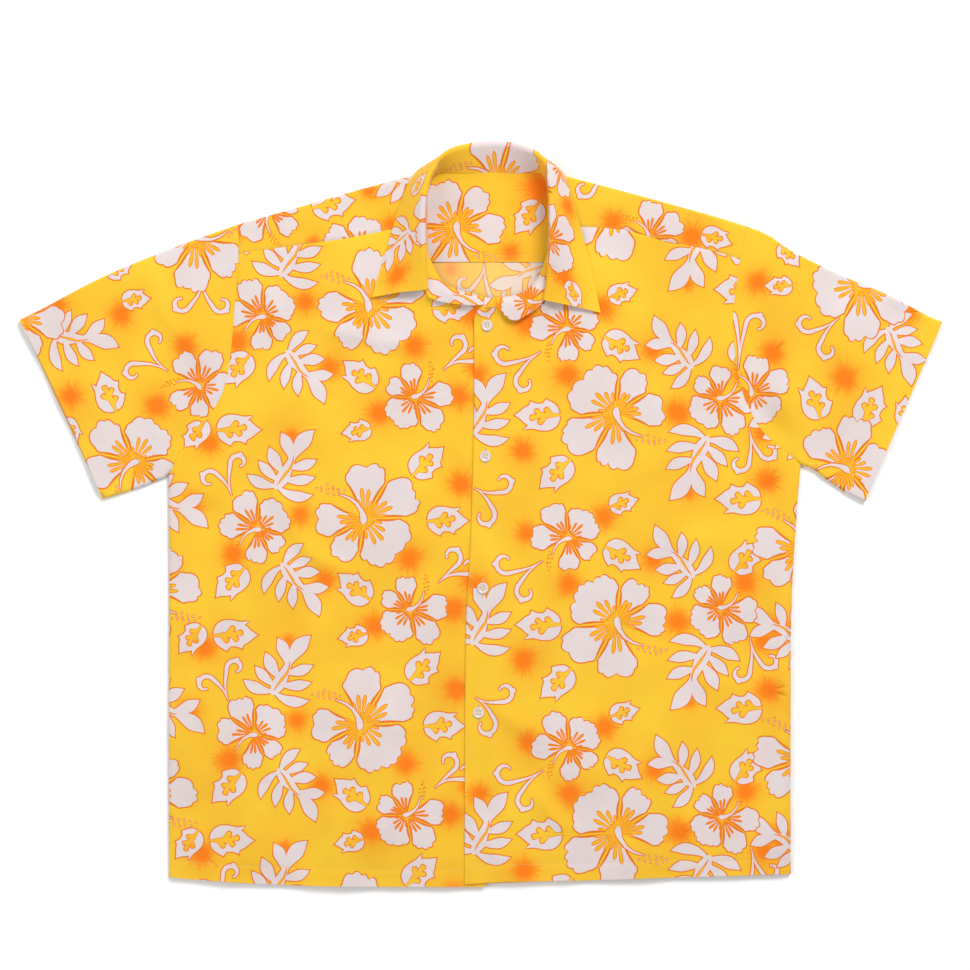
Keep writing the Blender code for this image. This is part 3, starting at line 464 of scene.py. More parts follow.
# In the collar's own plane: x along the roll from its right front end, y from the neck seam to the outer edge
PRINT_COLLAR = {
    "hibiscus": (
        (74.0, 10.0, 178, 33), (198.0, -12.0, 152, 52), (331.0, 26.0, 222, 33), (256.0, 66.0, 40, 34),
    ),
    "fern": ((59.0, 51.0, 134, 28), (200.0, 50.0, 10, 30)),
    "bud": ((381.0, 45.0, -5, 29), (108.0, 50.0, -35, 26)),
    "burst": (
        (18.0, 52.0, 1.0), (363.0, 37.0, 1.0), (275.0, 20.0, 1.2), (150.0, 60.0, 1.0), (300.0, 62.0, 0.9),
    ),
}
PRINT_FACINGS = {
    "hibiscus": ((49.0, 212.0, 20, 30),),
    "fern": ((1.0, 207.5, 158, 36),),
    "burst": ((18.0, 203.0, 0.7),),
}
PRINT_NECK = {
    "fern": ((64.0, 250.0, 205, 34),),
    "curl": ((4.4, 253.0, -16.0, 231.5, 9.0, -1, 17.0, 222.5, 9.0, 1),),
    "burst": ((-30.0, 245.0, 0.6),),
}
BACK_REPEATS = ((4.0, 190.0), (0.0, -19.0), (-3.0, -228.0), (0.0, -437.0))
# On the back panel no repeated motif starts in this box, which the neck shows: least and greatest x, y
NECK_BOX = ((-95.0, 175.0), (110.0, 300.0))

# Petals. Columns: first and last direction from the pistil, length as a share of the flower's
PETALS = (
    (-78.0, -19.0, 1.04), (-135.0, -78.0, 1.08), (-236.0, -135.0, 0.93), (-288.0, -236.0, 0.87),
    (17.0, 72.0, 0.93),
)
PETAL_BASE = 0.255
RAY_SHAPE = (
    (0.0, 0.35), (0.25, 0.55), (0.5, 0.8), (0.7, 1.0), (0.85, 0.97), (0.94, 0.72), (0.985, 0.4),
    (1.0, 0.12),
)
# The pistil, in shares of the flower's length: x, y, half width
PISTIL = (
    (-0.048, 0.095, 0.018), (-0.028, 0.065, 0.05), (0.0, 0.023, 0.066), (0.058, -0.024, 0.058),
    (0.152, -0.07, 0.038), (0.315, -0.112, 0.026), (0.48, -0.096, 0.02), (0.6, -0.05, 0.014),
    (0.7, 0.0, 0.003),
)

# Blades of a fern. Columns: start x, y; direction from the rib; bend; length; half width, all for a rib of 38
FERN_RIB = 38.0
FERN_BLADES = (
    (-1.0, 2.0, 118.0, -42.0, 31.0, 5.6),
    (5.0, 3.0, 80.0, -14.0, 27.0, 4.9),
    (14.0, 2.0, 66.0, -18.0, 29.0, 6.0),
    (30.0, 2.0, 36.0, 26.0, 28.0, 6.0),
    (31.0, 0.0, 8.0, -32.0, 36.0, 7.4),
    (22.0, -1.5, -60.0, 30.0, 28.0, 5.2),
    (9.0, -2.5, -72.0, 30.0, 31.0, 5.0),
    (-1.0, -2.0, -104.0, 62.0, 36.0, 5.2),
)
# The middle of a fern and the line along its rib. Columns: x, y, half width
FERN_BODY = (
    (-4.0, 0.4, 1.4), (1.0, 0.2, 4.6), (6.0, 0.0, 6.4), (13.0, -0.4, 6.2), (22.0, 0.0, 4.4),
    (31.0, 0.6, 3.0), (35.0, 0.8, 1.6),
)
FERN_LINE = (
    (0.0, 0.6, 0.3), (6.0, 0.3, 0.9), (14.0, -0.9, 1.5), (22.0, -2.4, 1.3), (28.0, -1.6, 0.9),
    (34.0, 0.6, 0.3),
)

# A bud of length 42 with its tip along +x, as smooth edges that meet in sharp corners: x, y
BUD_LENGTH = 42.0
BUD_EDGES = (
    ((21.0, 0.2), (16.0, 3.4), (11.5, 7.6), (8.6, 9.6)),
    ((8.6, 9.6), (10.4, 10.8), (13.0, 13.2)),
    ((13.0, 13.2), (5.0, 12.4), (-3.0, 14.0), (-10.5, 13.8), (-16.8, 10.4), (-20.0, 4.6), (-20.3, 1.4)),
    ((-20.3, 1.4), (-17.0, 0.4), (-19.8, -2.6)),
    ((-19.8, -2.6), (-18.4, -7.0), (-14.4, -10.8), (-7.6, -14.6)),
    ((-7.6, -14.6), (-6.2, -12.4), (-4.4, -10.6)),
    ((-4.4, -10.6), (1.0, -10.4), (6.6, -12.6)),
    ((6.6, -12.6), (7.0, -10.6), (8.4, -8.6)),
    ((8.4, -8.6), (12.4, -6.6), (16.4, -3.2), (21.0, 0.2)),
)
# Lobes of the heart in a bud. Columns: start x, y; direction; length; half width
BUD_HEART = (
    (-22.0, -0.4, 3.0, 24.0, 2.4), (-3.0, 0.6, 12.0, 10.0, 2.2), (-9.0, 0.6, 40.0, 10.5, 2.1),
    (-14.0, -0.6, -34.0, 9.0, 2.0), (-5.0, -0.2, -30.0, 8.4, 1.9),
)

# Lines round the motifs, and the parts of blades, ferns and curls that are drawn by rule
OUTLINE_WIDTH = 1.25
THIN_LINE = 0.9 * OUTLINE_WIDTH
BLADE_WIDEST = 0.6
FERN_VEIN_LINE = 0.65
CURL_WIDTH = 2.0
# A flower above this petal length is drawn big. Pairs are for a small and a big flower
BIG_FLOWER = 42.0
PETAL_GAP = (1.45, 1.75)
RAY_WIDTH = (0.041, 0.044)
RAY_START = 0.11
RAY_LINE = 0.8
PISTIL_LINE = (0.9, 1.1)
POLLEN_SIZE = (1.0, 1.55)
POLLEN_DOTS = 12
# Spikes of a burst: their number, coarse and fine, and their least and greatest length
BURST_POINTS = (28, 64)
BURST_SPIKES = (10.0, 22.0)
# The strong middle of the glow in a burst: least and added strength, reach, how sharply it ends
GLOW_CORE = (0.35, 0.65, 10.0, 1.7)
# The wide, faint glow round each burst
GLOW_HALO = 0.17
GLOW_REACH = 29.0
PRINT_SEED = 7


# Plane geometry


def smooth_between(t, first, last, leave, arrive):
    """A place at the share t of the way from first to last, with the slopes at both ends."""
    early = (2 * t**3 - 3 * t**2 + 1) * first + (t**3 - 2 * t**2 + t) * leave
    return early + (3 * t**2 - 2 * t**3) * last + (t**3 - t**2) * arrive


def curve(rows, step=EDGE_STEP):
    """Points along a smooth curve through the rows, about a step apart."""
    rows = np.array(rows, float)
    ends = np.vstack([2 * rows[0] - rows[1], rows, 2 * rows[-1] - rows[-2]])
    made = [rows[0]]
    for a, b, c, d in zip(ends[:-3], ends[1:-2], ends[2:-1], ends[3:]):
        parts = max(1, round(np.linalg.norm(c - b) / step))
        made += [smooth_between(k / parts, b, c, (c - a) / 2, (d - b) / 2) for k in range(1, parts + 1)]
    return np.array(made)


def shifted(line, amount):
    """The line moved to its left by the amount."""
    along = np.gradient(line, axis=0)
    along /= np.linalg.norm(along, axis=1)[:, None]
    return line + amount * np.stack([-along[:, 1], along[:, 0]], axis=1)


def between(line, low, high):
    """The stretch of a falling line between two heights y, with its ends worked out."""
    ys = line[:, 1]
    ends = [np.array([np.interp(-y, -ys, line[:, 0]), y]) for y in (min(high, ys[0]), max(low, ys[-1]))]
    middle = line[(ys < ends[0][1] - 1) & (ys > ends[1][1] + 1)]
    return np.vstack([ends[0], middle, ends[1]])


def lengths_of(line):
    """The length along a line, at each of its points."""
    return np.concatenate([[0], np.cumsum(np.linalg.norm(np.diff(line, axis=0), axis=1))])


def evenly(line, step):
    """Points a step apart along a line of any dimension."""
    run = lengths_of(line)
    at = np.linspace(0, run[-1], max(2, round(run[-1] / step) + 1))
    return np.column_stack([np.interp(at, run, line[:, k]) for k in range(line.shape[1])])


def closed(outline):
    """The outline with its first point again at its end."""
    return np.vstack([outline, outline[:1]])


def loop(*lines, step=12.0):
    """One outline from lines laid end to end, with doubled points left out and long edges divided."""
    points = closed(np.vstack(lines))
    kept = []
    for a, b in zip(points[:-1], points[1:]):
        length = np.linalg.norm(b - a)
        if length > 0.05:
            parts = math.ceil(length / step)
            kept += [a + (b - a) * k / parts for k in range(parts)]
    return np.array(kept)


def circle(centre, radius, count):
    angles = np.linspace(0, 2 * math.pi, count, endpoint=False)
    return np.column_stack([centre[0] + radius * np.cos(angles), centre[1] + radius * np.sin(angles)])


def stretches(points, line):
    """For each stretch of a line: the share of it at which each point is nearest, and how far off that is."""
    for a, b in zip(line[:-1], line[1:]):
        ab = b - a
        t = np.clip(((points - a) @ ab) / max(ab @ ab, 1e-9), 0, 1)
        yield t, np.linalg.norm(points - a - t[:, None] * ab, axis=1)


def distance(points, line):
    """The distance from each point to the line."""
    best = np.full(len(points), np.inf)
    for _, away in stretches(points, line):
        best = np.minimum(best, away)
    return best


def inside(points, outline):
    """Which of the points lie inside the outline."""
    found = np.zeros(len(points), bool)
    for a, b in zip(outline, np.roll(outline, -1, axis=0)):
        spans = (a[1] > points[:, 1]) != (b[1] > points[:, 1])
        if spans.any():
            x = a[0] + (points[:, 1] - a[1]) * (b[0] - a[0]) / (b[1] - a[1] + 1e-12)
            found ^= spans & (points[:, 0] < x)
    return found


def area_of(outline):
    """The area of an outline, below 0 where it runs clockwise."""
    x, y = outline.T
    return 0.5 * float((x * np.roll(y, -1) - y * np.roll(x, -1)).sum())


def ease(value, start, end):
    """0 before start, 1 after end, smooth between."""
    t = np.clip((value - start) / (end - start), 0, 1)
    return t * t * (3 - 2 * t)


def rounded(d, radius):
    """Height share over a rounded edge, at distance d from it."""
    return np.sqrt(1 - (1 - np.clip(d / radius, 0, 1)) ** 2)


def turned(points, angle):
    """The points turned round the origin by so many degrees."""
    c, s = math.cos(math.radians(angle)), math.sin(math.radians(angle))
    return points @ np.array([[c, s], [-s, c]])


def step_towards(direction):
    """A step of length 1 in a direction in degrees."""
    angle = math.radians(direction)
    return np.array([math.cos(angle), math.sin(angle)])


def swell(d, height, width, at=0.0):
    """A soft rise at the distance d, from its height, its half width and where its middle lies."""
    return height * np.exp(-(((d - at) / width) ** 2))


# Heights


def fall_lift(p):
    """How far the collar's fall lifts what lies on it."""
    (x0, y0), (x1, y1) = FALL_BOX
    beyond = np.hypot(
        np.maximum(0, np.maximum(x0 - p[:, 0], p[:, 0] - x1)),
        np.maximum(0, np.maximum(y0 - p[:, 1], p[:, 1] - y1)),
    )
    return FALL_LIFT * (1 - ease(beyond, 0, FALL_FADE))


def ridges(p):
    """Soft ridges and hollows that fade towards both ends of their lines."""
    total = np.zeros(len(p))
    for half_width, height, *line in FOLDS:
        line = curve(line)
        run = lengths_of(line)
        best, share = np.full(len(p), np.inf), np.zeros(len(p))
        for i, (t, away) in enumerate(stretches(p, line)):
            near = away < best
            best[near] = away[near]
            share[near] = (run[i] + t[near] * (run[i + 1] - run[i])) / run[-1]
        taper = ease(0.5 - np.abs(share - 0.5), -0.12, FOLD_ENDS)
        total += FOLD_GAIN * height * taper * np.exp(-((best / half_width) ** 2))
    return total


def ripple(p):
    """The faint unevenness of pressed cotton."""
    x, y = p[:, 0], p[:, 1]
    broad = np.sin(0.061 * x + 1.7 * np.sin(0.021 * y)) * np.sin(0.047 * y + 1.3 * np.sin(0.027 * x))
    fine = np.sin(0.19 * x + 2.1 * np.sin(0.067 * y)) * np.sin(0.16 * y + 1.9 * np.sin(0.083 * x))
    middle = np.sin(0.105 * x + 1.3 * np.sin(0.037 * y + 1.0)) * np.sin(0.093 * y + 1.5 * np.sin(0.041 * x))
    return 1.0 * broad + 0.5 * middle + 0.09 * fine


def calm(p):
    """0 round the buttons, 1 away from them."""
    nearest = np.min([np.hypot(p[:, 0] - x, p[:, 1] - y) for x, y in BUTTONS], axis=0)
    return ease(nearest, *BUTTON_CALM)


def upper(p):
    """The visible side of the upper layer, away from its edges."""
    return TOP_HEIGHT + calm(p) * (ridges(p) + ripple(p)) + fall_lift(p)


def seam_dip(p, line):
    """The cloth dips into a seam, and its stitches pucker it a little."""
    d = distance(p, line)
    pucker = np.sin(0.74 * p[:, 0] + 0.5 * np.sin(0.31 * p[:, 1])) * np.sin(0.69 * p[:, 1])
    return swell(d, PUCKER, PUCKER_REACH) * pucker - swell(d, SEAM_DIP, SEAM_DIP_REACH)


def placket_lift(p):
    """The left front lies on the right one, and comes down to its level beside the band."""
    return LAYER * (1 - ease(p[:, 0], *PLACKET_BLEND))


def front_height(p, side, arc, on_top, hem, seams):
    """The visible side of a front, which rounds down at its side and rises at the neckline."""
    height = upper(p) + (placket_lift(p) if on_top else 0)
    neck = swell(distance(p, arc), 1.0, NECK_RISE_REACH)
    height = height + NECK_RISE * neck * ease(-p[:, 1], -NECK_RISE_START[0], -NECK_RISE_START[1])
    for seam in seams:
        height = height + seam_dip(p, seam)
    if on_top:
        edge = distance(p, curve(PLACKET_EDGE))
        band = 1 - ease(edge, BAND_WIDTH - 0.6, BAND_WIDTH + 0.9)
        height = height + BAND_RISE * band - swell(edge, BAND_GROOVE, 1.1, BAND_WIDTH)
        height = height - BAND_EDGE_FALL * (1 - rounded(edge, 1.6)) * ease(-p[:, 1], -203.0, -190.0)
    fall = distance(p, hem)
    wave = 0.7 + 0.3 * np.sin(0.045 * p[:, 0] + 0.9) * np.sin(0.013 * p[:, 0])
    height = height - HEM_DROOP * wave * (1 - ease(fall, 0, HEM_DROOP_REACH))
    turn = HEM_RISE * (1 - ease(fall, HEM_TURN - 1.0, HEM_TURN + 1.4))
    height = height - swell(fall, HEM_GROOVE, 1.0, HEM_TURN) + turn
    return SIDE_HEIGHT + (height - SIDE_HEIGHT) * rounded(distance(p, side), SIDE_ROUND)


def tube_heights(p, edges, seams=()):
    """The upper and the lower side of a tube that is folded flat along its edges."""
    share = rounded(np.min([distance(p, edge) for edge in edges], axis=0), FOLD_ROUND)
    lift = fall_lift(p)
    middle = FOLD_HEIGHT + lift
    top = upper(p)
    for seam in seams:
        top = top + seam_dip(p, seam)
    return middle + (top - middle) * share, middle - FOLD_HEIGHT * share


def facing_height(p, inner, lift):
    """A facing rolls over beside its inner edge, and is lower towards its free edge and the centre front."""
    d = distance(p, inner)
    crest = FACING_CREST - swell(p[:, 0], FACING_CENTRE_FALL, FACING_CENTRE_REACH, FACING_CENTRE_X)
    height = FACING_INNER_Z + (crest - FACING_INNER_Z) * rounded(d, FACING_ROLL)
    wave = 0.5 * np.sin(0.23 * p[:, 0] + 0.09 * p[:, 1]) * ease(d, 3.0, 10.0)
    return height - FACING_SLOPE * np.maximum(0, d - FACING_ROLL) + lift + wave


# Motifs. Each is a list of (ink, outline), painted in order.


def ribbon(path, half_widths):
    """The outline of a band along a path."""
    along = np.gradient(path, axis=0)
    along /= np.maximum(np.linalg.norm(along, axis=1), 1e-9)[:, None]
    side = np.stack([-along[:, 1], along[:, 0]], axis=1) * np.asarray(half_widths)[:, None]
    return np.vstack([path - side, (path + side)[::-1]])


def bent(start, direction, bend, length, count):
    """Points along a line that bends by so many degrees over its length."""
    angles = np.radians(direction + bend * np.linspace(0, 1, count))
    steps = np.column_stack([np.cos(angles), np.sin(angles)]) * length / (count - 1)
    return np.array(start) + np.vstack([[0, 0], np.cumsum((steps[:-1] + steps[1:]) / 2, axis=0)])


def blade(start, direction, bend, length, half_width, grow, count):
    """A pointed leaf blade."""
    path = bent(start, direction, bend, length, count)
    u = np.linspace(0, 1, count)
    rise = np.sin(np.pi / 2 * np.minimum(u / BLADE_WIDEST, 1)) ** 1.4
    fall = 1 - (np.maximum(u - BLADE_WIDEST, 0) / (1 - BLADE_WIDEST)) ** 1.6
    widths = half_width * np.where(u < BLADE_WIDEST, 0.3 + 0.7 * rise, fall) + grow
    widths[-1] = 0.08
    if grow:
        ends = path[-1] - path[-2]
        path = np.vstack([path[:-1], [path[-1] + ends / np.linalg.norm(ends) * 1.7 * grow]])
    return ribbon(path, widths)


def teardrop(start, direction, length, half_width):
    """A ray or lobe that is widest near its rounded outer end."""
    u, widths = np.array(RAY_SHAPE).T
    return ribbon(np.array(start) + np.outer(u * length, step_towards(direction)), widths * half_width)


def petal_outline(first, last, length, base, gap, phase, count):
    """A petal between two directions, with a scalloped end, straight sides and a narrow base."""
    middle, half = (first + last) / 2, (last - first) / 2
    share = np.linspace(-1, 1, count)
    wave = phase + 0.23 * half * share + 1.3 * np.sin(2.6 * share + phase)
    scallop = 0.06 * np.abs(np.sin(wave)) ** 0.8 + 0.08 * np.abs(np.sin(0.31 * wave + 2.0 * phase)) - 0.07
    reach = length * (1 - 0.27 * np.abs(share) ** 3.4) * (1 + scallop)
    angles = share * (half - np.degrees(np.arcsin(gap / reach)))
    sides = []
    for end in (reach[-1], reach[0]):
        run = np.linspace(end, base, 6)[1:]
        waist = gap * (1 + 0.9 * np.sin(np.pi * (run - base) / (end - base)))
        sides.append((run, np.maximum(half - np.degrees(np.arcsin(np.minimum(waist / run, 0.9))), 4.0)))
    (inward, back), (outward, front_side) = sides
    reach = np.concatenate([reach, inward, outward[::-1]])
    angles = np.radians(middle + np.concatenate([angles, back, -front_side[::-1]]))
    return np.column_stack([reach * np.cos(angles), reach * np.sin(angles)])


def set_down(made, x, y, direction, scale=1.0):
    """A motif scaled, turned and moved to its place."""
    return [(ink, turned(outline * scale, direction) + (x, y)) for ink, outline in made]


def hibiscus(x, y, direction, radius, detail):
    """A flower of five petals, with rays, a pistil and dots of pollen."""
    chance = np.random.default_rng(PRINT_SEED + round(abs(x) + 3 * abs(y)))
    big = radius > BIG_FLOWER
    fine = big and detail == 1
    start = RAY_START * radius
    petals, edges, fills = [], [], []
    for first, last, share in PETALS:
        phase = chance.uniform(0, 3)
        count = round((0.75 if detail == 1 else 0.3) * (last - first) * (1.0 if big else 0.85))
        reach, base = share * radius, PETAL_BASE * radius
        for grow, ink in ((OUTLINE_WIDTH, "outline"), (0.0, "white")):
            gap = PETAL_GAP[big] - grow
            petals.append((ink, petal_outline(first, last, reach + grow, base - grow, gap, phase, count)))
        rays = 5 if last - first > 90 else 4
        for j in range(rays):
            off = 2 * (j - (rays - 1) / 2) / (rays - 1)
            turn = (first + last) / 2 + 0.36 * (last - first) * off
            tip = reach * (0.6 - 0.2 * off**2 + chance.uniform(-0.08, 0.05))
            way = step_towards(turn)
            width = RAY_WIDTH[big] * radius * (1.05 - 0.25 * abs(off))
            edges.append(("ray_edge", teardrop(start * way, turn, tip - start, width)))
            if fine:
                long = tip - 0.7 * start - RAY_LINE
                fills.append(("ray", teardrop(0.7 * start * way, turn, long, width - RAY_LINE)))
    rows = radius * np.array(PISTIL)
    made = petals + edges + fills
    made.append(("outline", ribbon(rows[:, :2], rows[:, 2] + PISTIL_LINE[big])))
    made.append(("white", ribbon(rows[:, :2], rows[:, 2])))
    dot = POLLEN_SIZE[big]
    for k in range(POLLEN_DOTS):
        row, column = k % 3, k // 3
        along = radius * (0.66 + 0.105 * column + 0.05 * row) + chance.uniform(-0.7, 0.7)
        across = radius * (0.095 * row + 0.05 * column - 0.13) + chance.uniform(-0.7, 0.7)
        made.append(("ray_edge", circle((along, across), dot, 8 if detail == 1 else 5)))
        if fine:
            made.append(("white", circle((along, across), 0.45 * dot, 6)))
    return set_down(made, x, y, direction)


def fern(x, y, direction, rib, detail):
    """A leaf of pointed blades along a rib."""
    scale = rib / FERN_RIB
    body, middle = np.array(FERN_BODY), np.array(FERN_LINE)
    count = 11 if detail == 1 else 7
    made = []
    for grow, ink in ((OUTLINE_WIDTH / scale, "outline"), (0.0, "white")):
        for bx, by, turn, bend, length, half_width in FERN_BLADES:
            made.append((ink, blade((bx, by), turn, bend, length, half_width, grow, count)))
        made.append((ink, ribbon(body[:, :2], body[:, 2] + grow)))
    made.append(("ray_edge", ribbon(middle[:, :2], middle[:, 2])))
    if detail == 1:
        made.append(("ray", ribbon(middle[1:-1, :2], middle[1:-1, 2] - FERN_VEIN_LINE)))
    return set_down(made, x, y, direction, scale)


def bud(x, y, direction, length, detail):
    """A ragged bud with a lobed heart."""
    scale = length / BUD_LENGTH
    body = loop(*(curve(edge, 2.6 if detail == 1 else 5.0) for edge in BUD_EDGES), step=BUD_LENGTH)
    made = [("outline", grown(body, OUTLINE_WIDTH / scale)), ("white", body)]
    for grow, ink in ((THIN_LINE / scale, "ray_edge"), (0.0, "ground")):
        for bx, by, turn, long, half_width in BUD_HEART:
            made.append((ink, teardrop((bx, by), turn, long + grow, half_width + grow)))
    return set_down(made, x, y, direction, scale)


def grown(outline, amount):
    """A closed outline moved outwards, with its sharp corners blunted."""
    after, before = np.roll(outline, -1, axis=0) - outline, outline - np.roll(outline, 1, axis=0)
    normals = []
    for side in (after, before):
        side = side / np.linalg.norm(side, axis=1)[:, None]
        normals.append(np.stack([side[:, 1], -side[:, 0]], axis=1))
    mean = normals[0] + normals[1]
    size = np.maximum(np.linalg.norm(mean, axis=1), 0.7)[:, None]
    sense = 1 if area_of(outline) > 0 else -1
    return outline + sense * amount * np.minimum(2 / size, 1.8) * mean / np.maximum(size, 1.0)


def arm_path(tip, middle, centre, radius, sense):
    """From the tip of the stem by way of its middle to a circle, and round it on a closing spiral."""
    away = middle - centre
    reach = max(np.linalg.norm(away), 1.05 * radius)
    start = math.atan2(away[1], away[0]) + sense * math.acos(radius / reach)
    touch = centre + radius * np.array([math.cos(start), math.sin(start)])
    u = np.linspace(0, 1, 9)[:, None]
    push = 0.5 * np.linalg.norm(touch - tip)
    heading = np.array([-math.sin(start), math.cos(start)]) * sense
    leave = (middle - tip) / np.linalg.norm(middle - tip)
    a, b = tip + leave * push, touch - heading * 0.7 * push
    stem = (1 - u) ** 3 * tip + 3 * (1 - u) ** 2 * u * a + 3 * (1 - u) * u**2 * b + u**3 * touch
    sweep = np.linspace(0, math.radians(235), 13)[1:]
    shrink = radius * (1 - 0.5 * sweep / sweep[-1])
    around = start + sense * sweep
    spiral = centre + shrink[:, None] * np.column_stack([np.cos(around), np.sin(around)])
    return np.vstack([stem, spiral])


def curl(x, y, *arms):
    """A two-armed tendril with a pointed stem."""
    tip = np.array([x, y])
    arms = arms[:4], arms[4:]
    middle = tip + 0.42 * (np.mean([arm[:2] for arm in arms], axis=0) - tip)
    made = []
    for grow, ink in ((THIN_LINE, "outline"), (0.0, "white")):
        for *centre, radius, sense in arms:
            path = arm_path(tip, middle, np.array(centre), radius, sense)
            u = np.linspace(0, 1, len(path))
            width = 0.2 + 2.1 * np.sin(np.pi * np.clip(u * 0.98, 0, 1) ** 1.25) ** 0.9
            made.append((ink, ribbon(path, np.minimum(width, CURL_WIDTH) + grow)))
            bend = path[round(0.62 * len(path))]
            made.append((ink, circle(bend + 0.18 * (bend - centre), 2.5 + grow, 9)))
            made.append((ink, circle(path[-1], 1.2 + grow, 7)))
    return made


def burst(x, y, size, number, detail):
    """A star of thin spikes of uneven length."""
    chance = np.random.default_rng(PRINT_SEED + number)
    count = BURST_POINTS[detail]
    angles = np.linspace(0, 2 * math.pi, count, endpoint=False) + chance.uniform(-0.05, 0.05, count)
    long = chance.uniform(*BURST_SPIKES, count)
    reach = size * np.where(np.arange(count) % 2, long, 0.26 * np.roll(long, 1) + 0.4)
    return [("burst", np.array([x, y]) + reach[:, None] * np.column_stack([np.cos(angles), np.sin(angles)]))]


MOTIFS = {"bud": bud, "fern": fern, "hibiscus": hibiscus}


def printed_motifs(table, repeats=((0.0, 0.0),), detail=1, mirror=False, clear=None):
    """All motifs of a print and the places of its glowing bursts, bursts first."""
    layers = {kind: [] for kind in ("burst", "curl", "bud", "fern", "hibiscus")}
    glows, number = [], 0

    def left_out(x, y):
        x = -x if mirror else x
        return clear and clear[0][0] < x < clear[1][0] and clear[0][1] < y < clear[1][1]

    for dx, dy in repeats:
        for kind, made in layers.items():
            for x, y, *rest in table.get(kind, ()):
                number += kind == "burst"
                if left_out(x + dx, y + dy):
                    continue
                if kind == "burst":
                    glows.append((x + dx, y + dy, *rest))
                    made += burst(x + dx, y + dy, *rest, number, detail)
                elif kind == "curl":
                    made += [(ink, outline + (dx, dy)) for ink, outline in curl(x, y, *rest)]
                else:
                    made += MOTIFS[kind](x + dx, y + dy, *rest, detail)
    motifs = [motif for kind in layers.values() for motif in kind]
    if mirror:
        motifs = [(ink, outline * (-1, 1)) for ink, outline in motifs]
        glows = [(-x, y, size) for x, y, size in glows]
    return motifs, glows


# Meshes


def rows_beside(outline, round_edges, step):
    """Points inside an outline that follow its rounded edges and seams, where the height bends."""
    rim = closed(outline)
    made = [np.empty((0, 2))]
    for edge, rows in round_edges:
        for row in rows:
            for line in (shifted(edge, row), shifted(edge, -row)):
                line = evenly(line, step)
                line = line[inside(line, outline)]
                if len(line):
                    made.append(line[distance(line, rim) > 0.8 * row])
    return np.vstack(made)


def fill_points(outline, spacing, taken):
    """A hexagonal grid inside an outline, clear of the points that are there already."""
    rim = closed(outline)
    low, high = outline.min(axis=0), outline.max(axis=0)
    grid = []
    for j, y in enumerate(np.arange(low[1] + 1, high[1], spacing * math.sqrt(0.75))):
        grid += [(x, y) for x in np.arange(low[0] + (j % 2) * spacing / 2, high[0], spacing)]
    grid = np.array(grid)
    grid = grid[inside(grid, outline)]
    grid = grid[distance(grid, rim) > 0.35 * spacing]
    tree = kdtree.KDTree(len(taken))
    for i, point in enumerate(taken):
        tree.insert((point[0], point[1], 0.0), i)
    tree.balance()
    far = [tree.find((x, y, 0.0))[2] > 0.4 * spacing for x, y in grid]
    return grid[np.array(far, bool)]


def doubled_areas(corners, triangles):
    """Twice the area of each triangle, below 0 where it runs clockwise."""
    a, b, c = (corners[triangles[:, i]] for i in range(3))
    return (b[:, 0] - a[:, 0]) * (c[:, 1] - a[:, 1]) - (b[:, 1] - a[:, 1]) * (c[:, 0] - a[:, 0])


def drop_spills(corners, triangles, covers, shapes):
    """Where the fill of a motif ran past its outline, its triangles are found again by their centres."""
    sizes = np.abs(doubled_areas(corners, triangles)) / 2
    covered = np.zeros(len(shapes) + 1)
    for cover, size in zip(covers, sizes):
        for number in cover:
            covered[number] += size
    for number, shape in enumerate(shapes, 1):
        if covered[number] > 1.2 * abs(area_of(shape)) + 2:
            within = inside(corners[triangles].mean(axis=1), shape)
            for cover, keep in zip(covers, within):
                if not keep:
                    cover.discard(number)


def numbered(shapes):
    """For outlines laid one after another, the numbers of each one's points."""
    ends = np.cumsum([0, *map(len, shapes)]).tolist()
    return [list(range(start, end)) for start, end in zip(ends[:-1], ends[1:])]


def printed(outline, motifs, glows, round_edges=(), spacing=FILL_TOP, row_step=4.0):
    """Corners, triangles, an ink for each triangle and a glow for each corner, cut along the print.

    round_edges holds a line and the distances of its rows of points for each edge that bends.
    """
    if area_of(outline) < 0:
        outline = outline[::-1]
    low, high = outline.min(axis=0), outline.max(axis=0)
    used = []
    for ink, shape in motifs:
        if (shape.max(axis=0) < low).any() or (shape.min(axis=0) > high).any():
            continue
        if inside(shape, outline).any():
            used.append((ink, shape if area_of(shape) > 0 else shape[::-1]))
    shapes = [shape for _, shape in used]
    rows = rows_beside(outline, round_edges, row_step)
    taken = np.vstack([outline, rows, *shapes])
    points = np.vstack([outline, *shapes, rows, fill_points(outline, spacing, taken)])
    faces = numbered([outline, *shapes])
    found = delaunay_2d_cdt([Vector(p) for p in points], [], faces, 0, CUT_PRECISION)
    corners = np.array([tuple(v) for v in found[0]])
    kept = [(face, came) for face, came in zip(found[2], found[5]) if 0 in came]
    triangles = np.array([face for face, _ in kept])
    covers = [set(came) for _, came in kept]
    drop_spills(corners, triangles, covers, shapes)
    names = ["ground", *(ink for ink, _ in used)]
    inks = [names[max(cover)] for cover in covers]
    whole = [ink != "hole" for ink in inks]
    triangles, inks = triangles[whole], [ink for ink in inks if ink != "hole"]
    flipped = doubled_areas(corners, triangles) < 0
    triangles[flipped] = triangles[flipped][:, ::-1]
    glow = np.zeros(len(corners))
    least, added, reach, power = GLOW_CORE
    for x, y, size in glows:
        d = np.hypot(corners[:, 0] - x, corners[:, 1] - y)
        core = (least + added * min(1.0, size)) * np.exp(-((d / (reach * size)) ** power))
        glow = np.maximum(glow, core + swell(d, GLOW_HALO, GLOW_REACH))
    return corners, triangles, inks, glow


def put_in(name, data):
    """A new object for a mesh, a lamp or a camera, in the scene."""
    made = bpy.data.objects.new(name, data)
    bpy.context.collection.objects.link(made)
    return made


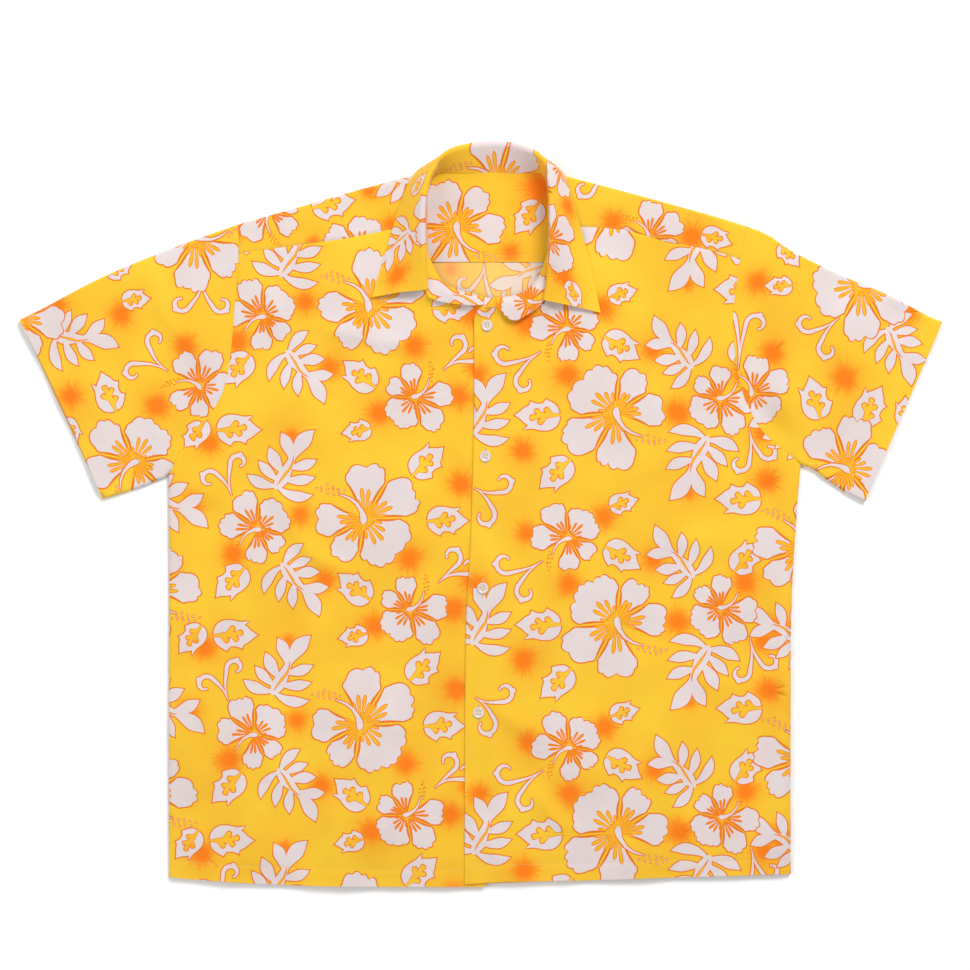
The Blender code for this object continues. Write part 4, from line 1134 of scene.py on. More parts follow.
def shell(name, layers, look, doubled=False):
    """A cloth piece from layers of (points, triangles, inks, glow), with its wall on the hidden side.

    Doubled cloth has a wall of twice the thickness, and the face of the cloth on both sides.
    """
    colours = inks_of(look)
    points = np.vstack([layer[0] for layer in layers]) * MM
    starts = np.cumsum([0, *(len(layer[0]) for layer in layers)])
    triangles = np.vstack([layer[1] + start for layer, start in zip(layers, starts)])
    data = bpy.data.meshes.new(name)
    data.from_pydata(points.tolist(), [], triangles.tolist())
    inks = np.array([colours[ink] for layer in layers for ink in layer[2]], np.float32)
    data.attributes.new("ink", "FLOAT_COLOR", "FACE").data.foreach_set("color", inks.ravel())
    glow = np.concatenate([layer[3] for layer in layers]).astype(np.float32)
    data.attributes.new("glow", "FLOAT", "POINT").data.foreach_set("value", glow)
    mesh = bmesh.new()
    mesh.from_mesh(data)
    bmesh.ops.remove_doubles(mesh, verts=mesh.verts, dist=WELD * MM)
    # A triangle that shares an edge with two others and has a free edge is a flap, left by the weld
    flaps = [f for f in mesh.faces if {1, 3} <= {min(len(e.link_faces), 3) for e in f.edges}]
    bmesh.ops.delete(mesh, geom=flaps, context="FACES")
    loose = [v for v in mesh.verts if not v.link_faces]
    bmesh.ops.delete(mesh, geom=loose, context="VERTS")
    for edge in mesh.edges:
        edge.smooth = not edge.is_boundary
    mesh.to_mesh(data)
    mesh.free()
    paints = cloth_paints(look)[: 1 if doubled else 2]
    for paint in paints:
        data.materials.append(paint)
    data.shade_smooth()
    piece = put_in(name, data)
    solid = piece.modifiers.new("Wall", "SOLIDIFY")
    solid.thickness = (2 if doubled else 1) * look.wall
    solid.offset = -1
    solid.material_offset = len(paints) - 1
    return piece


def raised(flat, heights):
    """A flat layer lifted to its heights."""
    corners, *rest = flat
    return np.column_stack([corners, heights(corners)]), *rest


def turned_over(layer):
    """A layer with its faces pointing down."""
    points, triangles, *rest = layer
    return points, triangles[:, ::-1], *rest


def on_edges(layer, edges):
    """The corners of a layer that lie on the edges."""
    corners = layer[0][:, :2]
    return corners[np.min([distance(corners, edge) for edge in edges], axis=0) < ON_EDGE]


def with_points(outline, extra, edges):
    """The outline with the extra points, which lie on its edges, put in between its own."""
    rim = closed(outline)
    kept = []
    for a, b in zip(rim[:-1], rim[1:]):
        kept.append(a)
        ab = b - a
        t = ((extra - a) @ ab) / (ab @ ab)
        off = np.linalg.norm(extra - a - t[:, None] * ab, axis=1)
        gap = WELD / np.linalg.norm(ab)
        on = np.sort(t[(off < ON_EDGE) & (t > gap) & (t < 1 - gap)])
        if len(on) > 1:
            on = on[np.concatenate([[True], np.diff(on) > gap])]
        kept += [a + ab * share for share in on]
    return np.array(kept)


def two_sided(layers, edges):
    """Prints the layers of a tube so that they share all corners along its folds.

    layers holds (outline, motifs, glows, rows, spacing) for each side.
    """
    first = [printed(*layer) for layer in layers]
    shared = np.vstack([on_edges(layer, edges) for layer in first])
    return [printed(with_points(outline, shared, edges), *rest) for outline, *rest in layers]


def dress(piece, node=None):
    """The piece belongs to the shirt's one body and stands for its CAD node, which is hidden."""
    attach(piece, "root")
    if node:
        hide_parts(node)


def declare(piece, node, outlines, flat=None):
    """The piece stands for its CAD node. The flat size of its cut is worked out from its outlines but not
    used.
    """
    if flat is None:
        size = (outlines[0].max(axis=0) - outlines[0].min(axis=0)) * MM
        flat = (float(size[0]), float(size[1]))
    dress(piece, node)


# Materials


def opaque(colour):
    """A colour with its fourth part."""
    return (*colour, 1.0)


def darker(colour, share):
    """A darker, opaque shade of a colour."""
    return opaque([share * part for part in colour])


def fill_in(tree, node, values):
    """Sets the inputs of a node, or links those whose value is another node's output."""
    for name, value in values.items():
        if isinstance(value, bpy.types.NodeSocket):
            tree.links.new(value, node.inputs[name])
        else:
            node.inputs[name].default_value = value


def add_node(tree, kind, inputs=None, **settings):
    """A node with its settings and its inputs, which are named or numbered."""
    made = tree.nodes.new(kind)
    for name, value in settings.items():
        setattr(made, name, value)
    fill_in(tree, made, inputs or {})
    return made


def worked_out(tree, operation, *values):
    """The result of a sum with the values."""
    return add_node(tree, "ShaderNodeMath", dict(enumerate(values)), operation=operation).outputs[0]


def blended(tree, share, first, second):
    """The first colour with a share of the second."""
    values = {"Factor": share, "A": first, "B": second}
    return add_node(tree, "ShaderNodeMix", values, data_type="RGBA").outputs["Result"]


def spread_out(tree, value, **limits):
    """A value from one range, brought into another."""
    limits = {name.replace("_", " ").title(): limit for name, limit in limits.items()}
    return add_node(tree, "ShaderNodeMapRange", {"Value": value, **limits}).outputs["Result"]


def place_on(tree):
    """The place on the object that is shaded."""
    return add_node(tree, "ShaderNodeTexCoord").outputs["Object"]


def new_paint(name, **finish):
    """A new material, its tree and its shader, with the finish set on the shader's own sockets."""
    paint = bpy.data.materials.new(name)
    paint.use_nodes = True
    shader = paint.node_tree.nodes["Principled BSDF"]
    for socket, value in finish.items():
        shader.inputs[socket.replace("_", " ")].default_value = value
    return paint, paint.node_tree, shader


def cotton(name, look, reverse=False):
    """Printed plain-weave cotton. The ink comes from the cloth's own attribute, and glows turn it orange."""
    paint, tree, shader = new_paint(
        name,
        Roughness=0.82,
        Sheen_Weight=0.12,
        Sheen_Roughness=0.45,
        Specular_IOR_Level=0.3,
        Subsurface_Weight=0.3,
        Subsurface_Radius=(1.0, 0.4, 0.1),
        Subsurface_Scale=look.glow_depth,
    )
    place = place_on(tree)
    ink = add_node(tree, "ShaderNodeAttribute", attribute_name="ink").outputs
    glow = add_node(tree, "ShaderNodeAttribute", attribute_name="glow").outputs["Fac"]
    clouds = add_node(tree, "ShaderNodeTexNoise", {"Vector": place, "Scale": 13.0, "Detail": 3.0})
    patches = spread_out(tree, clouds.outputs["Fac"], from_min=0.68, from_max=0.32)
    golden = worked_out(tree, "MULTIPLY_ADD", patches, look.golden_patches, glow)
    amount = worked_out(tree, "MULTIPLY", ink["Alpha"], golden)
    colour = blended(tree, amount, ink["Color"], opaque(look.glow_colour))
    if reverse:
        colour = blended(tree, 0.3, colour, opaque(look.reverse_colour))
    tone = blended(tree, patches, (1.02, 1.02, 1.03, 1), (0.96, 0.945, 0.93, 1))
    scale = WAVE_SCALE / look.thread_pitch
    lines = {"Vector": place, "Scale": scale, "Distortion": 0.6, "Detail Scale": 1.5}
    threads = [add_node(tree, "ShaderNodeTexWave", lines, bands_direction=way) for way in ("X", "Y")]
    weave = worked_out(tree, "ADD", *(thread.outputs["Fac"] for thread in threads))
    fleck = spread_out(tree, weave, from_max=2.0, to_min=0.97, to_max=1.03)
    toned = add_node(tree, "ShaderNodeVectorMath", {0: colour, 1: tone}, operation="MULTIPLY").outputs[0]
    dyed = add_node(tree, "ShaderNodeVectorMath", {0: toned, "Scale": fleck}, operation="SCALE").outputs[0]
    relief = add_node(tree, "ShaderNodeBump", {"Strength": 0.35, "Distance": 0.00012, "Height": weave})
    fill_in(tree, shader, {"Base Color": dyed, "Normal": relief.outputs["Normal"]})
    return paint


def thread_paint(look):
    """Twisted sewing thread, made once."""
    if "sewing_thread" in bpy.data.materials:
        return bpy.data.materials["sewing_thread"]
    paint, tree, shader = new_paint("sewing_thread", Roughness=0.6, Sheen_Weight=0.2)
    lines = {"Vector": place_on(tree), "Scale": 900.0}
    twist = add_node(tree, "ShaderNodeTexWave", lines, bands_direction="DIAGONAL").outputs["Fac"]
    shade = blended(tree, twist, darker(look.thread_colour, 0.8), opaque(look.thread_colour))
    fill_in(tree, shader, {"Base Color": shade})
    return paint


def pearl(look):
    """Pale moulded plastic with a pearly cloudiness."""
    paint, tree, shader = new_paint("pearl_button", Coat_Weight=0.6, Coat_Roughness=0.12)
    cloudy = {"Vector": place_on(tree), "Scale": 260.0, "Detail": 4.0, "Distortion": 1.6}
    clouds = add_node(tree, "ShaderNodeTexNoise", cloudy).outputs["Fac"]
    tone = blended(tree, clouds, darker(look.button_colour, 0.86), opaque(look.button_colour))
    rough = spread_out(tree, clouds, to_min=0.22, to_max=0.38)
    fill_in(tree, shader, {"Base Color": tone, "Roughness": rough})
    return paint


def cloth_paints(look):
    """The face and the washed-out reverse of the cloth, made once."""
    made = []
    for name, reverse in (("printed_cotton_face", False), ("printed_cotton_reverse", True)):
        made.append(bpy.data.materials.get(name) or cotton(name, look, reverse))
    return made


def inks_of(look):
    """Each ink's colour, with how strongly a glow turns it as its fourth part."""
    return {
        "ground": opaque(look.ground_colour),
        "white": (*look.white_colour, 0.0),
        "outline": (*look.outline_colour, 0.3),
        "ray_edge": (*look.ray_edge_colour, 0.2),
        "ray": (*look.ray_colour, 0.1),
        "burst": opaque(look.burst_colour),
    }


# Sizes and colours


def colour_property(name, description, default):
    """A colour that the user sets."""
    return bpy.props.FloatVectorProperty(
        name=name, description=description, subtype="COLOR", size=3, min=0.0, max=1.0, default=default
    )


def size_property(name, description, default):
    """A length that the user sets."""
    return bpy.props.FloatProperty(
        name=name, description=description, subtype="DISTANCE", unit="LENGTH", min=0.0, default=default
    )


def amount_property(name, description, default, most=1e6):
    """A share or a power that the user sets."""
    return bpy.props.FloatProperty(name=name, description=description, min=0.0, max=most, default=default)


class ClothLook(bpy.types.PropertyGroup):
    """Colours of the print and measures of the cloth."""

    ground_colour: colour_property("Ground", "Yellow ground of the print", (0.885, 0.556, 0.028))
    white_colour: colour_property("Petals", "White of petals and leaves", (0.725, 0.63, 0.625))
    outline_colour: colour_property("Outline", "Line round each motif", (0.76, 0.18, 0.010))
    ray_edge_colour: colour_property("Ray edge", "Line round the rays of a flower", (0.84, 0.215, 0.004))
    ray_colour: colour_property("Ray", "Fill of the rays and throat", (0.88, 0.44, 0.014))
    burst_colour: colour_property("Burst", "Spikes of the bursts", (0.88, 0.32, 0.008))
    glow_colour: colour_property("Glow", "Middle of the bursts", (0.94, 0.205, 0.0))
    reverse_colour: colour_property("Reverse", "What the cloth's wrong side fades to", (0.86, 0.68, 0.38))
    thread_colour: colour_property("Thread", "Sewing thread", (0.88, 0.60, 0.24))
    button_colour: colour_property("Buttons", "Pearly plastic", (0.74, 0.62, 0.60))
    golden_patches: amount_property("Golden patches", "How far the yellow turns golden in patches", 0.13, 1.0)
    wall: size_property("Cloth", "Thickness of one layer of cloth", 0.0006)
    glow_depth: size_property("Depth of light", "How far light runs inside the thin cloth", 0.0012)
    thread_pitch: size_property("Weave", "Distance between threads of the weave", 0.0005)
    stitch_length: size_property("Stitch", "Length of one stitch", 0.0021)
    stitch_pitch: size_property("Stitch pitch", "Distance from stitch to stitch", 0.0028)
    stitch_width: size_property("Thread", "Thickness of the sewing thread", 0.00042)


class StageLook(bpy.types.PropertyGroup):
    """Floor, light and camera."""

    floor_colour: colour_property("Floor", "Pale floor", (0.95, 0.95, 0.95))
    floor_size: size_property("Floor", "Side of the floor", 6.0)
    view_width: size_property("View", "Width of the view at the shirt", 0.97)
    camera_height: size_property("Camera", "Height of the camera", 4.5)
    key_power: amount_property("Key", "Power of the large soft light", 106.0)
    fill_power: amount_property("Fill", "Power of the fill light", 32.0)


# Pieces


def armhole(rows, body, gap_side, back=False):
    """An armhole seam, on the body's side (gap_side 1) or the sleeve's (-1). body is 1 right, -1 left."""
    line = curve(rows)
    if back:
        share = np.sin(np.linspace(0, math.pi, len(line)))
        line = line - np.outer(share, (body * BACK_ARMHOLE_EASE, 0))
    return shifted(line, body * gap_side * SEAM_GAP / 2)


def back_armholes(low, high):
    """Both armholes of the back between two heights y, the right one first."""
    sides = (ARMHOLE_RIGHT, 1), (ARMHOLE_LEFT, -1)
    return [between(armhole(rows, body, 1, back=True), low, high) for rows, body in sides]


class SHIRT_OT_back(bpy.types.Operator):
    """Back panel, printed on its underside"""

    bl_idname = "shirt.back"
    bl_label = "Back"

    def execute(self, context):
        look = context.scene.shirt_cloth
        right, left = back_armholes(-math.inf, BACK_SEAM_Y - SEAM_GAP / 2)
        hem = curve(HEM_BACK)
        outline = loop(right, curve(SIDE_RIGHT)[1:], hem, curve(SIDE_LEFT)[::-1][:-1], left[::-1])
        motifs, glows = [], []
        for table in (PRINT_RIGHT, PRINT_LEFT):
            more, lights = printed_motifs(table, BACK_REPEATS, 0, True, NECK_BOX)
            motifs, glows = motifs + more, glows + lights
        more, lights = printed_motifs(PRINT_NECK)
        pleats = [(np.array([(x, 240.0), (x, -60.0)]), (0.3, 0.8)) for x in BACK_PLEAT]
        flat = printed(outline, motifs + more, glows + lights, pleats, FILL_BACK, 8.0)

        def height(p):
            first, last = (ease(p[:, 0], x - 0.7, x + 0.7) for x in BACK_PLEAT)
            pleat = PLEAT_RISE * (first - last) * ease(p[:, 1], -60.0, 120.0)
            return 0.1 * (1.6 + ripple(p)) + swell(distance(p, hem), HEM_RISE, 1.2, HEM_TURN) + pleat

        piece = shell("back_panel_cloth", [turned_over(raised(flat, height))], look)
        declare(piece, "back_panel", [outline])
        return {"FINISHED"}


class SHIRT_OT_yoke(bpy.types.Operator):
    """Outer yoke over both shoulders and its facing inside the neck"""

    bl_idname = "shirt.yoke"
    bl_label = "Yoke"

    def execute(self, context):
        look = context.scene.shirt_cloth
        right, left = back_armholes(BACK_SEAM_Y + SEAM_GAP / 2, math.inf)
        shoulders = curve(SHOULDER_RIGHT, SHOULDER_STEP), curve(SHOULDER_LEFT, SHOULDER_STEP)
        shoulders[0][0], shoulders[1][0] = right[0], left[0]
        neck = curve(NECK_BACK)
        folds = [(shoulder, FOLD_ROWS) for shoulder in shoulders]
        under = loop(right[::-1], shoulders[0], neck, shoulders[1][::-1], left)
        motifs, glows = printed_motifs(PRINT_YOKE)
        below, below_glows = printed_motifs(PRINT_YOKE_FACING, detail=0, mirror=True)
        layers = [(under, below, below_glows, folds, FILL_UNDER)]
        seams = []
        sides = (ARMHOLE_RIGHT, FRONT_SEAM_RIGHT, 1), (ARMHOLE_LEFT, FRONT_SEAM_LEFT, -1)
        for shoulder, (arm_rows, seam_rows, body) in zip(shoulders, sides):
            seam = curve(seam_rows) + (0, SEAM_GAP / 2)
            arm = between(armhole(arm_rows, body, 1), seam[0][1], math.inf)
            arm[0], seam[0] = shoulder[0], arm[-1]
            side = np.array([seam[-1], shoulder[-1]])
            outline = loop(arm, seam, side, shoulder[::-1])
            rows = [(shoulder, FOLD_ROWS), (seam, SEAM_ROWS), (arm, SEAM_ROWS)]
            seams += [seam, arm]
            layers.append((outline, motifs, glows, rows, FILL_TOP))
        flats = two_sided(layers, shoulders)
        made = [turned_over(raised(flats[0], lambda p: tube_heights(p, shoulders)[1]))]
        made += [raised(flat, lambda p: tube_heights(p, shoulders, seams)[0]) for flat in flats[1:]]
        piece = shell("back_yoke_cloth", made, look)
        declare(piece, "back_yoke", [layer[0] for layer in layers], YOKE_CUT)
        self.facing(look)
        return {"FINISHED"}

    def facing(self, look):
        """The yoke's facing, inside the neck."""
        right = shifted(curve(SHOULDER_RIGHT, SHOULDER_STEP), -FACING_INSET)
        left = shifted(curve(SHOULDER_LEFT, SHOULDER_STEP), FACING_INSET)
        right[0][0] += FACING_INSET
        left[0][0] -= FACING_INSET
        half = FACING_INSET / 2
        hem = np.array([[right[0][0] - half, BACK_SEAM_Y], [left[0][0] + half, BACK_SEAM_Y]])
        neck = curve(NECK_BACK)[1:-1] + (0, FACING_TUCK)
        outline = loop(hem[:1], right[:-1], neck, left[::-1][1:], hem[1:])
        flat = printed(outline, *printed_motifs(PRINT_YOKE_FACING), [(hem, SEAM_ROWS)])

        def height(p):
            edge = distance(p, hem)
            turn = FACING_HEM_RISE * (1 - ease(edge, 5.6, 7.2)) - swell(edge, FACING_GROOVE, 0.8, FACING_HEM)
            bow = FACING_BOW * np.sin(0.09 * p[:, 0] + 0.6) * ease(edge, 4.0, 20.0)
            sewn_down = (LAYER - 0.3) * (1 - ease(edge, 0.0, 16.0))
            tuck = FACING_TUCK_RISE * ease(p[:, 1], 334.0, 342.0)
            return LAYER + FACING_LIFT + fall_lift(p) + turn + bow + tuck - sewn_down

        piece = shell("yoke_facing_cloth", [raised(flat, height)], look)
        declare(piece, "yoke_facing", [outline])


def front(name, rows, body, centre, on_top, print_table, repeats, look):
    """One front. rows holds its armhole, yoke seam, side, hem, neck side and neck arc."""
    arm_rows, seam_rows, side_rows, hem_rows, neck_rows, arc_rows = rows
    seam = curve(seam_rows) - (0, SEAM_GAP / 2)
    arm = between(armhole(arm_rows, body, 1), -math.inf, seam[0][1])
    side, hem, arc = curve(side_rows), curve(hem_rows), curve(arc_rows, FINE_STEP)
    seam[0], side[0] = arm[0], arm[-1]
    outline = loop(arm, side, hem, centre[::-1], arc[::-1], curve(neck_rows)[::-1], seam[::-1])
    motifs, glows = printed_motifs(print_table, repeats)
    # The burst by the neck is print that also paints the orange shade under the rolled-out facing
    x, y, size = NECK_SHADE_BURSTS[1 if on_top else 0]
    motifs = burst(x, y, size, 0, 1) + motifs
    glows.append((x, y, size))
    if on_top:
        motifs += [("hole", buttonhole(place)) for place in BUTTONS]
    edges = [(side, SIDE_ROWS), (arc, NECK_ROWS), (seam, SEAM_ROWS), (arm, SEAM_ROWS), (hem, HEM_ROWS)]
    if on_top:
        edges.append((centre, BAND_ROWS))
    flat = printed(outline, motifs, glows, edges)
    layer = raised(flat, lambda p: front_height(p, side, arc, on_top, hem, (seam, arm)))
    declare(shell(f"{name}_cloth", [layer], look), name, [outline])


def band_heading():
    """The direction of the band, from the lowest to the top button."""
    way = np.subtract(BUTTONS[0], BUTTONS[-1])
    return way / np.linalg.norm(way)


def buttonhole(place):
    """The slit of a buttonhole, along the band and centred on its button."""
    along = np.linspace(-0.5, 0.5, 9) * BUTTONHOLE_LENGTH
    widths = 0.5 * BUTTONHOLE_OPENING * np.cos(np.linspace(-1.5, 1.5, 9)) ** 0.5
    return ribbon(np.array(place) + np.outer(along, band_heading()), widths)


class SHIRT_OT_fronts(bpy.types.Operator):
    """Both fronts, the left one with its button band on top"""

    bl_idname = "shirt.fronts"
    bl_label = "Fronts"

    def execute(self, context):
        look = context.scene.shirt_cloth
        right = ARMHOLE_RIGHT, FRONT_SEAM_RIGHT, SIDE_RIGHT, HEM_RIGHT, NECK_SIDE_RIGHT, NECK_ARC_RIGHT
        left = ARMHOLE_LEFT, FRONT_SEAM_LEFT, SIDE_LEFT, HEM_LEFT, NECK_SIDE_LEFT, NECK_ARC_LEFT
        under_edge = np.array([NECK_ARC_RIGHT[-1], HEM_RIGHT[-1]])
        front("front_right", right, 1, under_edge, False, PRINT_RIGHT, REPEATS_RIGHT, look)
        front("front_left", left, -1, curve(PLACKET_EDGE), True, PRINT_LEFT, REPEATS_LEFT, look)
        return {"FINISHED"}


class SHIRT_OT_facings(bpy.types.Operator):
    """Front facings, rolled out at the neck"""

    bl_idname = "shirt.facings"
    bl_label = "Facings"

    def execute(self, context):
        look = context.scene.shirt_cloth
        motifs, glows = printed_motifs(PRINT_FACINGS)
        parts = (
            ("facing_right", FACING_RIGHT_INNER, (FACING_RIGHT_OUTER,), False),
            ("facing_left", FACING_LEFT_INNER, (FACING_LEFT_OUTER, FACING_LEFT_JOIN), True),
        )
        for name, inner_rows, others, on_top in parts:
            inner = curve(inner_rows, FINE_STEP)
            outline = loop(inner, *(curve(other, FINE_STEP) for other in others), step=4.0)
            flat = printed(outline, motifs, glows, [(inner, FACING_ROWS)], FILL_FACING, 2.5)
            layer = raised(flat, lambda p: facing_height(p, inner, placket_lift(p) if on_top else 0))
            long = float(lengths_of(inner)[-1]) * MM
            wide = 1.3 * abs(area_of(outline)) * MM * MM / long
            declare(shell(f"{name}_cloth", [layer], look), name, [outline], (long, wide))
        return {"FINISHED"}


class SHIRT_OT_sleeves(bpy.types.Operator):
    """Both sleeves, flattened tubes with a turned hem"""

    bl_idname = "shirt.sleeves"
    bl_label = "Sleeves"

    def execute(self, context):
        look = context.scene.shirt_cloth
        right = SLEEVE_TOP_RIGHT, SLEEVE_LOW_RIGHT, ARMHOLE_RIGHT, 1, CUFF_PEEK, PRINT_SLEEVE_RIGHT
        left = SLEEVE_TOP_LEFT, SLEEVE_LOW_LEFT, ARMHOLE_LEFT, -1, 0.0, PRINT_SLEEVE_LEFT
        for name, (top, low, arm_rows, body, peek, table) in (("sleeve_right", right), ("sleeve_left", left)):
            upper_arm, lower_arm = armhole(arm_rows, body, -1), armhole(arm_rows, body, -1, back=True)
            edges = curve(top), curve(low)
            edges[0][0], edges[1][0] = upper_arm[0], upper_arm[-1]
            lower_arm[0], lower_arm[-1] = upper_arm[0], upper_arm[-1]
            cuff = np.linspace(edges[0][-1], edges[1][-1], 10)
            bowed = cuff + np.outer(np.sin(np.linspace(0, math.pi, len(cuff))), (body * peek, 0))
            layers = []
            for arm, end, lower in ((upper_arm, bowed, 0), (lower_arm, cuff, 1)):
                outline = loop(edges[0], end, edges[1][::-1], arm[::-1])
                rows = [(edge, FOLD_ROWS) for edge in edges] + [(arm, SEAM_ROWS), (end, CUFF_ROWS)]
                spacing = FILL_UNDER if lower else FILL_TOP
                layers.append((outline, *printed_motifs(table, detail=1 - lower), rows, spacing))
            flats = two_sided(layers, edges)

            def height(p):
                fall = distance(p, bowed)
                turn = CUFF_RISE * (1 - ease(fall, CUFF_TURN - 1.0, CUFF_TURN + 1.4))
                turn = turn - swell(fall, CUFF_RISE, 1.0, CUFF_TURN)
                top_side, under = tube_heights(p, edges, [upper_arm])
                return top_side + turn * ease(top_side - under, 2.0, 5.0)

            under = turned_over(raised(flats[1], lambda p: tube_heights(p, edges)[1]))
            piece = shell(f"{name}_cloth", [raised(flats[0], height), under], look)
            declare(piece, name, [layer[0] for layer in layers], SLEEVE_CUT)
        return {"FINISHED"}


def collar_section(row):
    """Points from the neck seam up the stand, round the roll and down the fall to the outer edge."""
    seam, roll, knee, edge = (np.array(row[i : i + 3]) for i in (0, 3, 6, 9))
    up = np.array([0.0, 0.0, 1.0])
    across = roll - seam if roll[1] > seam[1] + 3 * ROLL_RADIUS else edge - seam
    away = across * (1, 1, 0)
    away /= np.linalg.norm(away)
    first = math.atan2((roll - seam) @ away, seam[2] - roll[2])
    last = math.atan2((knee - roll) @ away, roll[2] - knee[2])
    angles = np.linspace(first, last, ROLL_POINTS)
    turn = [roll + ROLL_RADIUS * (math.cos(angle) * away + math.sin(angle) * up) for angle in angles]
    stand = [seam + (turn[0] - seam) * share for share in STAND_SHARES]
    return np.array([*stand, *turn, (turn[-1] + knee) / 2, knee, (knee + edge) / 2, edge])


def collar_surface():
    """A grid of points over the collar, and the length along its roll at each station of the grid."""
    rough = np.array([collar_section(row) for row in COLLAR_STATIONS])
    run = lengths_of(rough[:, 6])
    stations = evenly(run[:, None], 3.0)[:, 0]
    smooth = np.stack([spline_at(run, rough[:, j], stations) for j in range(rough.shape[1])], axis=1)
    grid = np.array([evenly(section, lengths_of(section)[-1] / (COLLAR_STEPS - 1)) for section in smooth])
    return grid, stations


def spline_at(knots, values, places):
    """A smooth curve through the values at their knots, read at the places."""
    slopes = np.gradient(values, knots, axis=0)
    i = np.clip(np.searchsorted(knots, places, side="right") - 1, 0, len(knots) - 2)
    h = (knots[i + 1] - knots[i])[:, None]
    t = ((places - knots[i]) / h[:, 0])[:, None]
    return smooth_between(t, values[i], values[i + 1], slopes[i] * h, slopes[i + 1] * h)


def on_collar(flat, grid, stations):
    """Places in the collar's own plane, as points in space."""
    s = np.interp(flat[:, 0], stations, np.arange(len(stations)))
    w = np.clip(flat[:, 1] / COLLAR_DEPTH, 0, 1) * (grid.shape[1] - 1)
    i, j = np.minimum(s.astype(int), len(stations) - 2), np.minimum(w.astype(int), grid.shape[1] - 2)
    u, v = (s - i)[:, None], (w - j)[:, None]
    low = grid[i, j] * (1 - u) + grid[i + 1, j] * u
    high = grid[i, j + 1] * (1 - u) + grid[i + 1, j + 1] * u
    return low * (1 - v) + high * v


class SHIRT_OT_collar(bpy.types.Operator):
    """Collar: stand, roll and fall in one strip"""

    bl_idname = "shirt.collar"
    bl_label = "Collar"

    def execute(self, context):
        look = context.scene.shirt_cloth
        grid, stations = collar_surface()
        end = stations[-1]
        outline = loop(np.array([[0, 0], [end, 0], [end, COLLAR_DEPTH], [0, COLLAR_DEPTH]], float), step=4.0)
        corners, *rest = printed(outline, *printed_motifs(PRINT_COLLAR), spacing=FILL_COLLAR)
        points = on_collar(corners, grid, stations)
        points[:, 2] = np.maximum(points[:, 2], COLLAR_LOWEST)
        piece = shell("collar_cloth", [(points, *rest)], look, doubled=True)
        dress(piece, "collar")
        return {"FINISHED"}


def heading_frame(heading, normal):
    """Euler angles that turn x to the heading and z to the normal."""
    normal = Vector(normal).normalized()
    side = normal.cross(Vector(heading)).normalized()
    ahead = side.cross(normal)
    return Matrix((ahead, side, normal)).transposed().to_euler()


def stitch_tree(paint):
    """Sets one rounded stitch on every point, turned as the point's own attribute says."""
    tree = bpy.data.node_groups.new("stitches", "GeometryNodeTree")
    sockets = (
        ("Points", "INPUT", "Geometry"),
        ("Width", "INPUT", "Float"),
        ("Rise", "INPUT", "Float"),
        ("Seed", "INPUT", "Int"),
        ("Stitches", "OUTPUT", "Geometry"),
    )
    for name, way, kind in sockets:
        tree.interface.new_socket(name=name, in_out=way, socket_type=f"NodeSocket{kind}")
    given = add_node(tree, "NodeGroupInput").outputs
    bead = add_node(tree, "GeometryNodeMeshUVSphere", {"Segments": 6, "Rings": 4, "Radius": 0.5})
    turn = add_node(tree, "GeometryNodeInputNamedAttribute", {"Name": "turn"}, data_type="FLOAT_VECTOR")
    long = add_node(tree, "GeometryNodeInputNamedAttribute", {"Name": "long"}, data_type="FLOAT")
    limits = {2: 0.9, 3: 1.06, "Seed": given["Seed"]}
    uneven = add_node(tree, "FunctionNodeRandomValue", limits, data_type="FLOAT").outputs[1]
    length = worked_out(tree, "MULTIPLY", long.outputs["Attribute"], uneven)
    size = add_node(tree, "ShaderNodeCombineXYZ", {"X": length, "Y": given["Width"], "Z": given["Rise"]})
    values = {
        "Points": given["Points"],
        "Instance": bead.outputs["Mesh"],
        "Rotation": turn.outputs["Attribute"],
        "Scale": size.outputs["Vector"],
    }
    beads = add_node(tree, "GeometryNodeInstanceOnPoints", values).outputs["Instances"]
    real = add_node(tree, "GeometryNodeRealizeInstances", {"Geometry": beads}).outputs["Geometry"]
    dressed = add_node(tree, "GeometryNodeSetMaterial", {"Geometry": real, "Material": paint})
    add_node(tree, "NodeGroupOutput", {"Stitches": dressed.outputs["Geometry"]})
    return tree


def sewn(name, stitches, tree, look):
    """A piece of stitches from rows of (place, direction, normal, length), all in metres."""
    data = bpy.data.meshes.new(name)
    data.from_pydata([tuple(place) for place, _, _, _ in stitches], [], [])
    turns = [part for _, way, up, _ in stitches for part in heading_frame(way, up)]
    data.attributes.new("turn", "FLOAT_VECTOR", "POINT").data.foreach_set("vector", turns)
    longs = [float(long) for _, _, _, long in stitches]
    data.attributes.new("long", "FLOAT", "POINT").data.foreach_set("value", longs)
    piece = put_in(name, data)
    maker = piece.modifiers.new("Stitches", "NODES")
    maker.node_group = tree
    values = {"Width": look.stitch_width, "Rise": STITCH_RISE * look.stitch_width, "Seed": PRINT_SEED}
    for socket in tree.interface.items_tree:
        if socket.in_out == "INPUT" and socket.name in values:
            maker[socket.identifier] = values[socket.name]
    made = bpy.data.meshes.new_from_object(piece.evaluated_get(bpy.context.evaluated_depsgraph_get()))
    piece.modifiers.clear()
    piece.data = made
    made.name = name
    made.shade_smooth()
    dress(piece)


def cloth_surfaces():
    """The visible side of every cloth piece, for finding heights on it."""
    made = {}
    for piece in bpy.data.objects:
        if piece.name.endswith("_cloth"):
            corners = [corner.co for corner in piece.data.vertices]
            made[piece.name] = BVHTree.FromPolygons(corners, [face.vertices for face in piece.data.polygons])
    return made


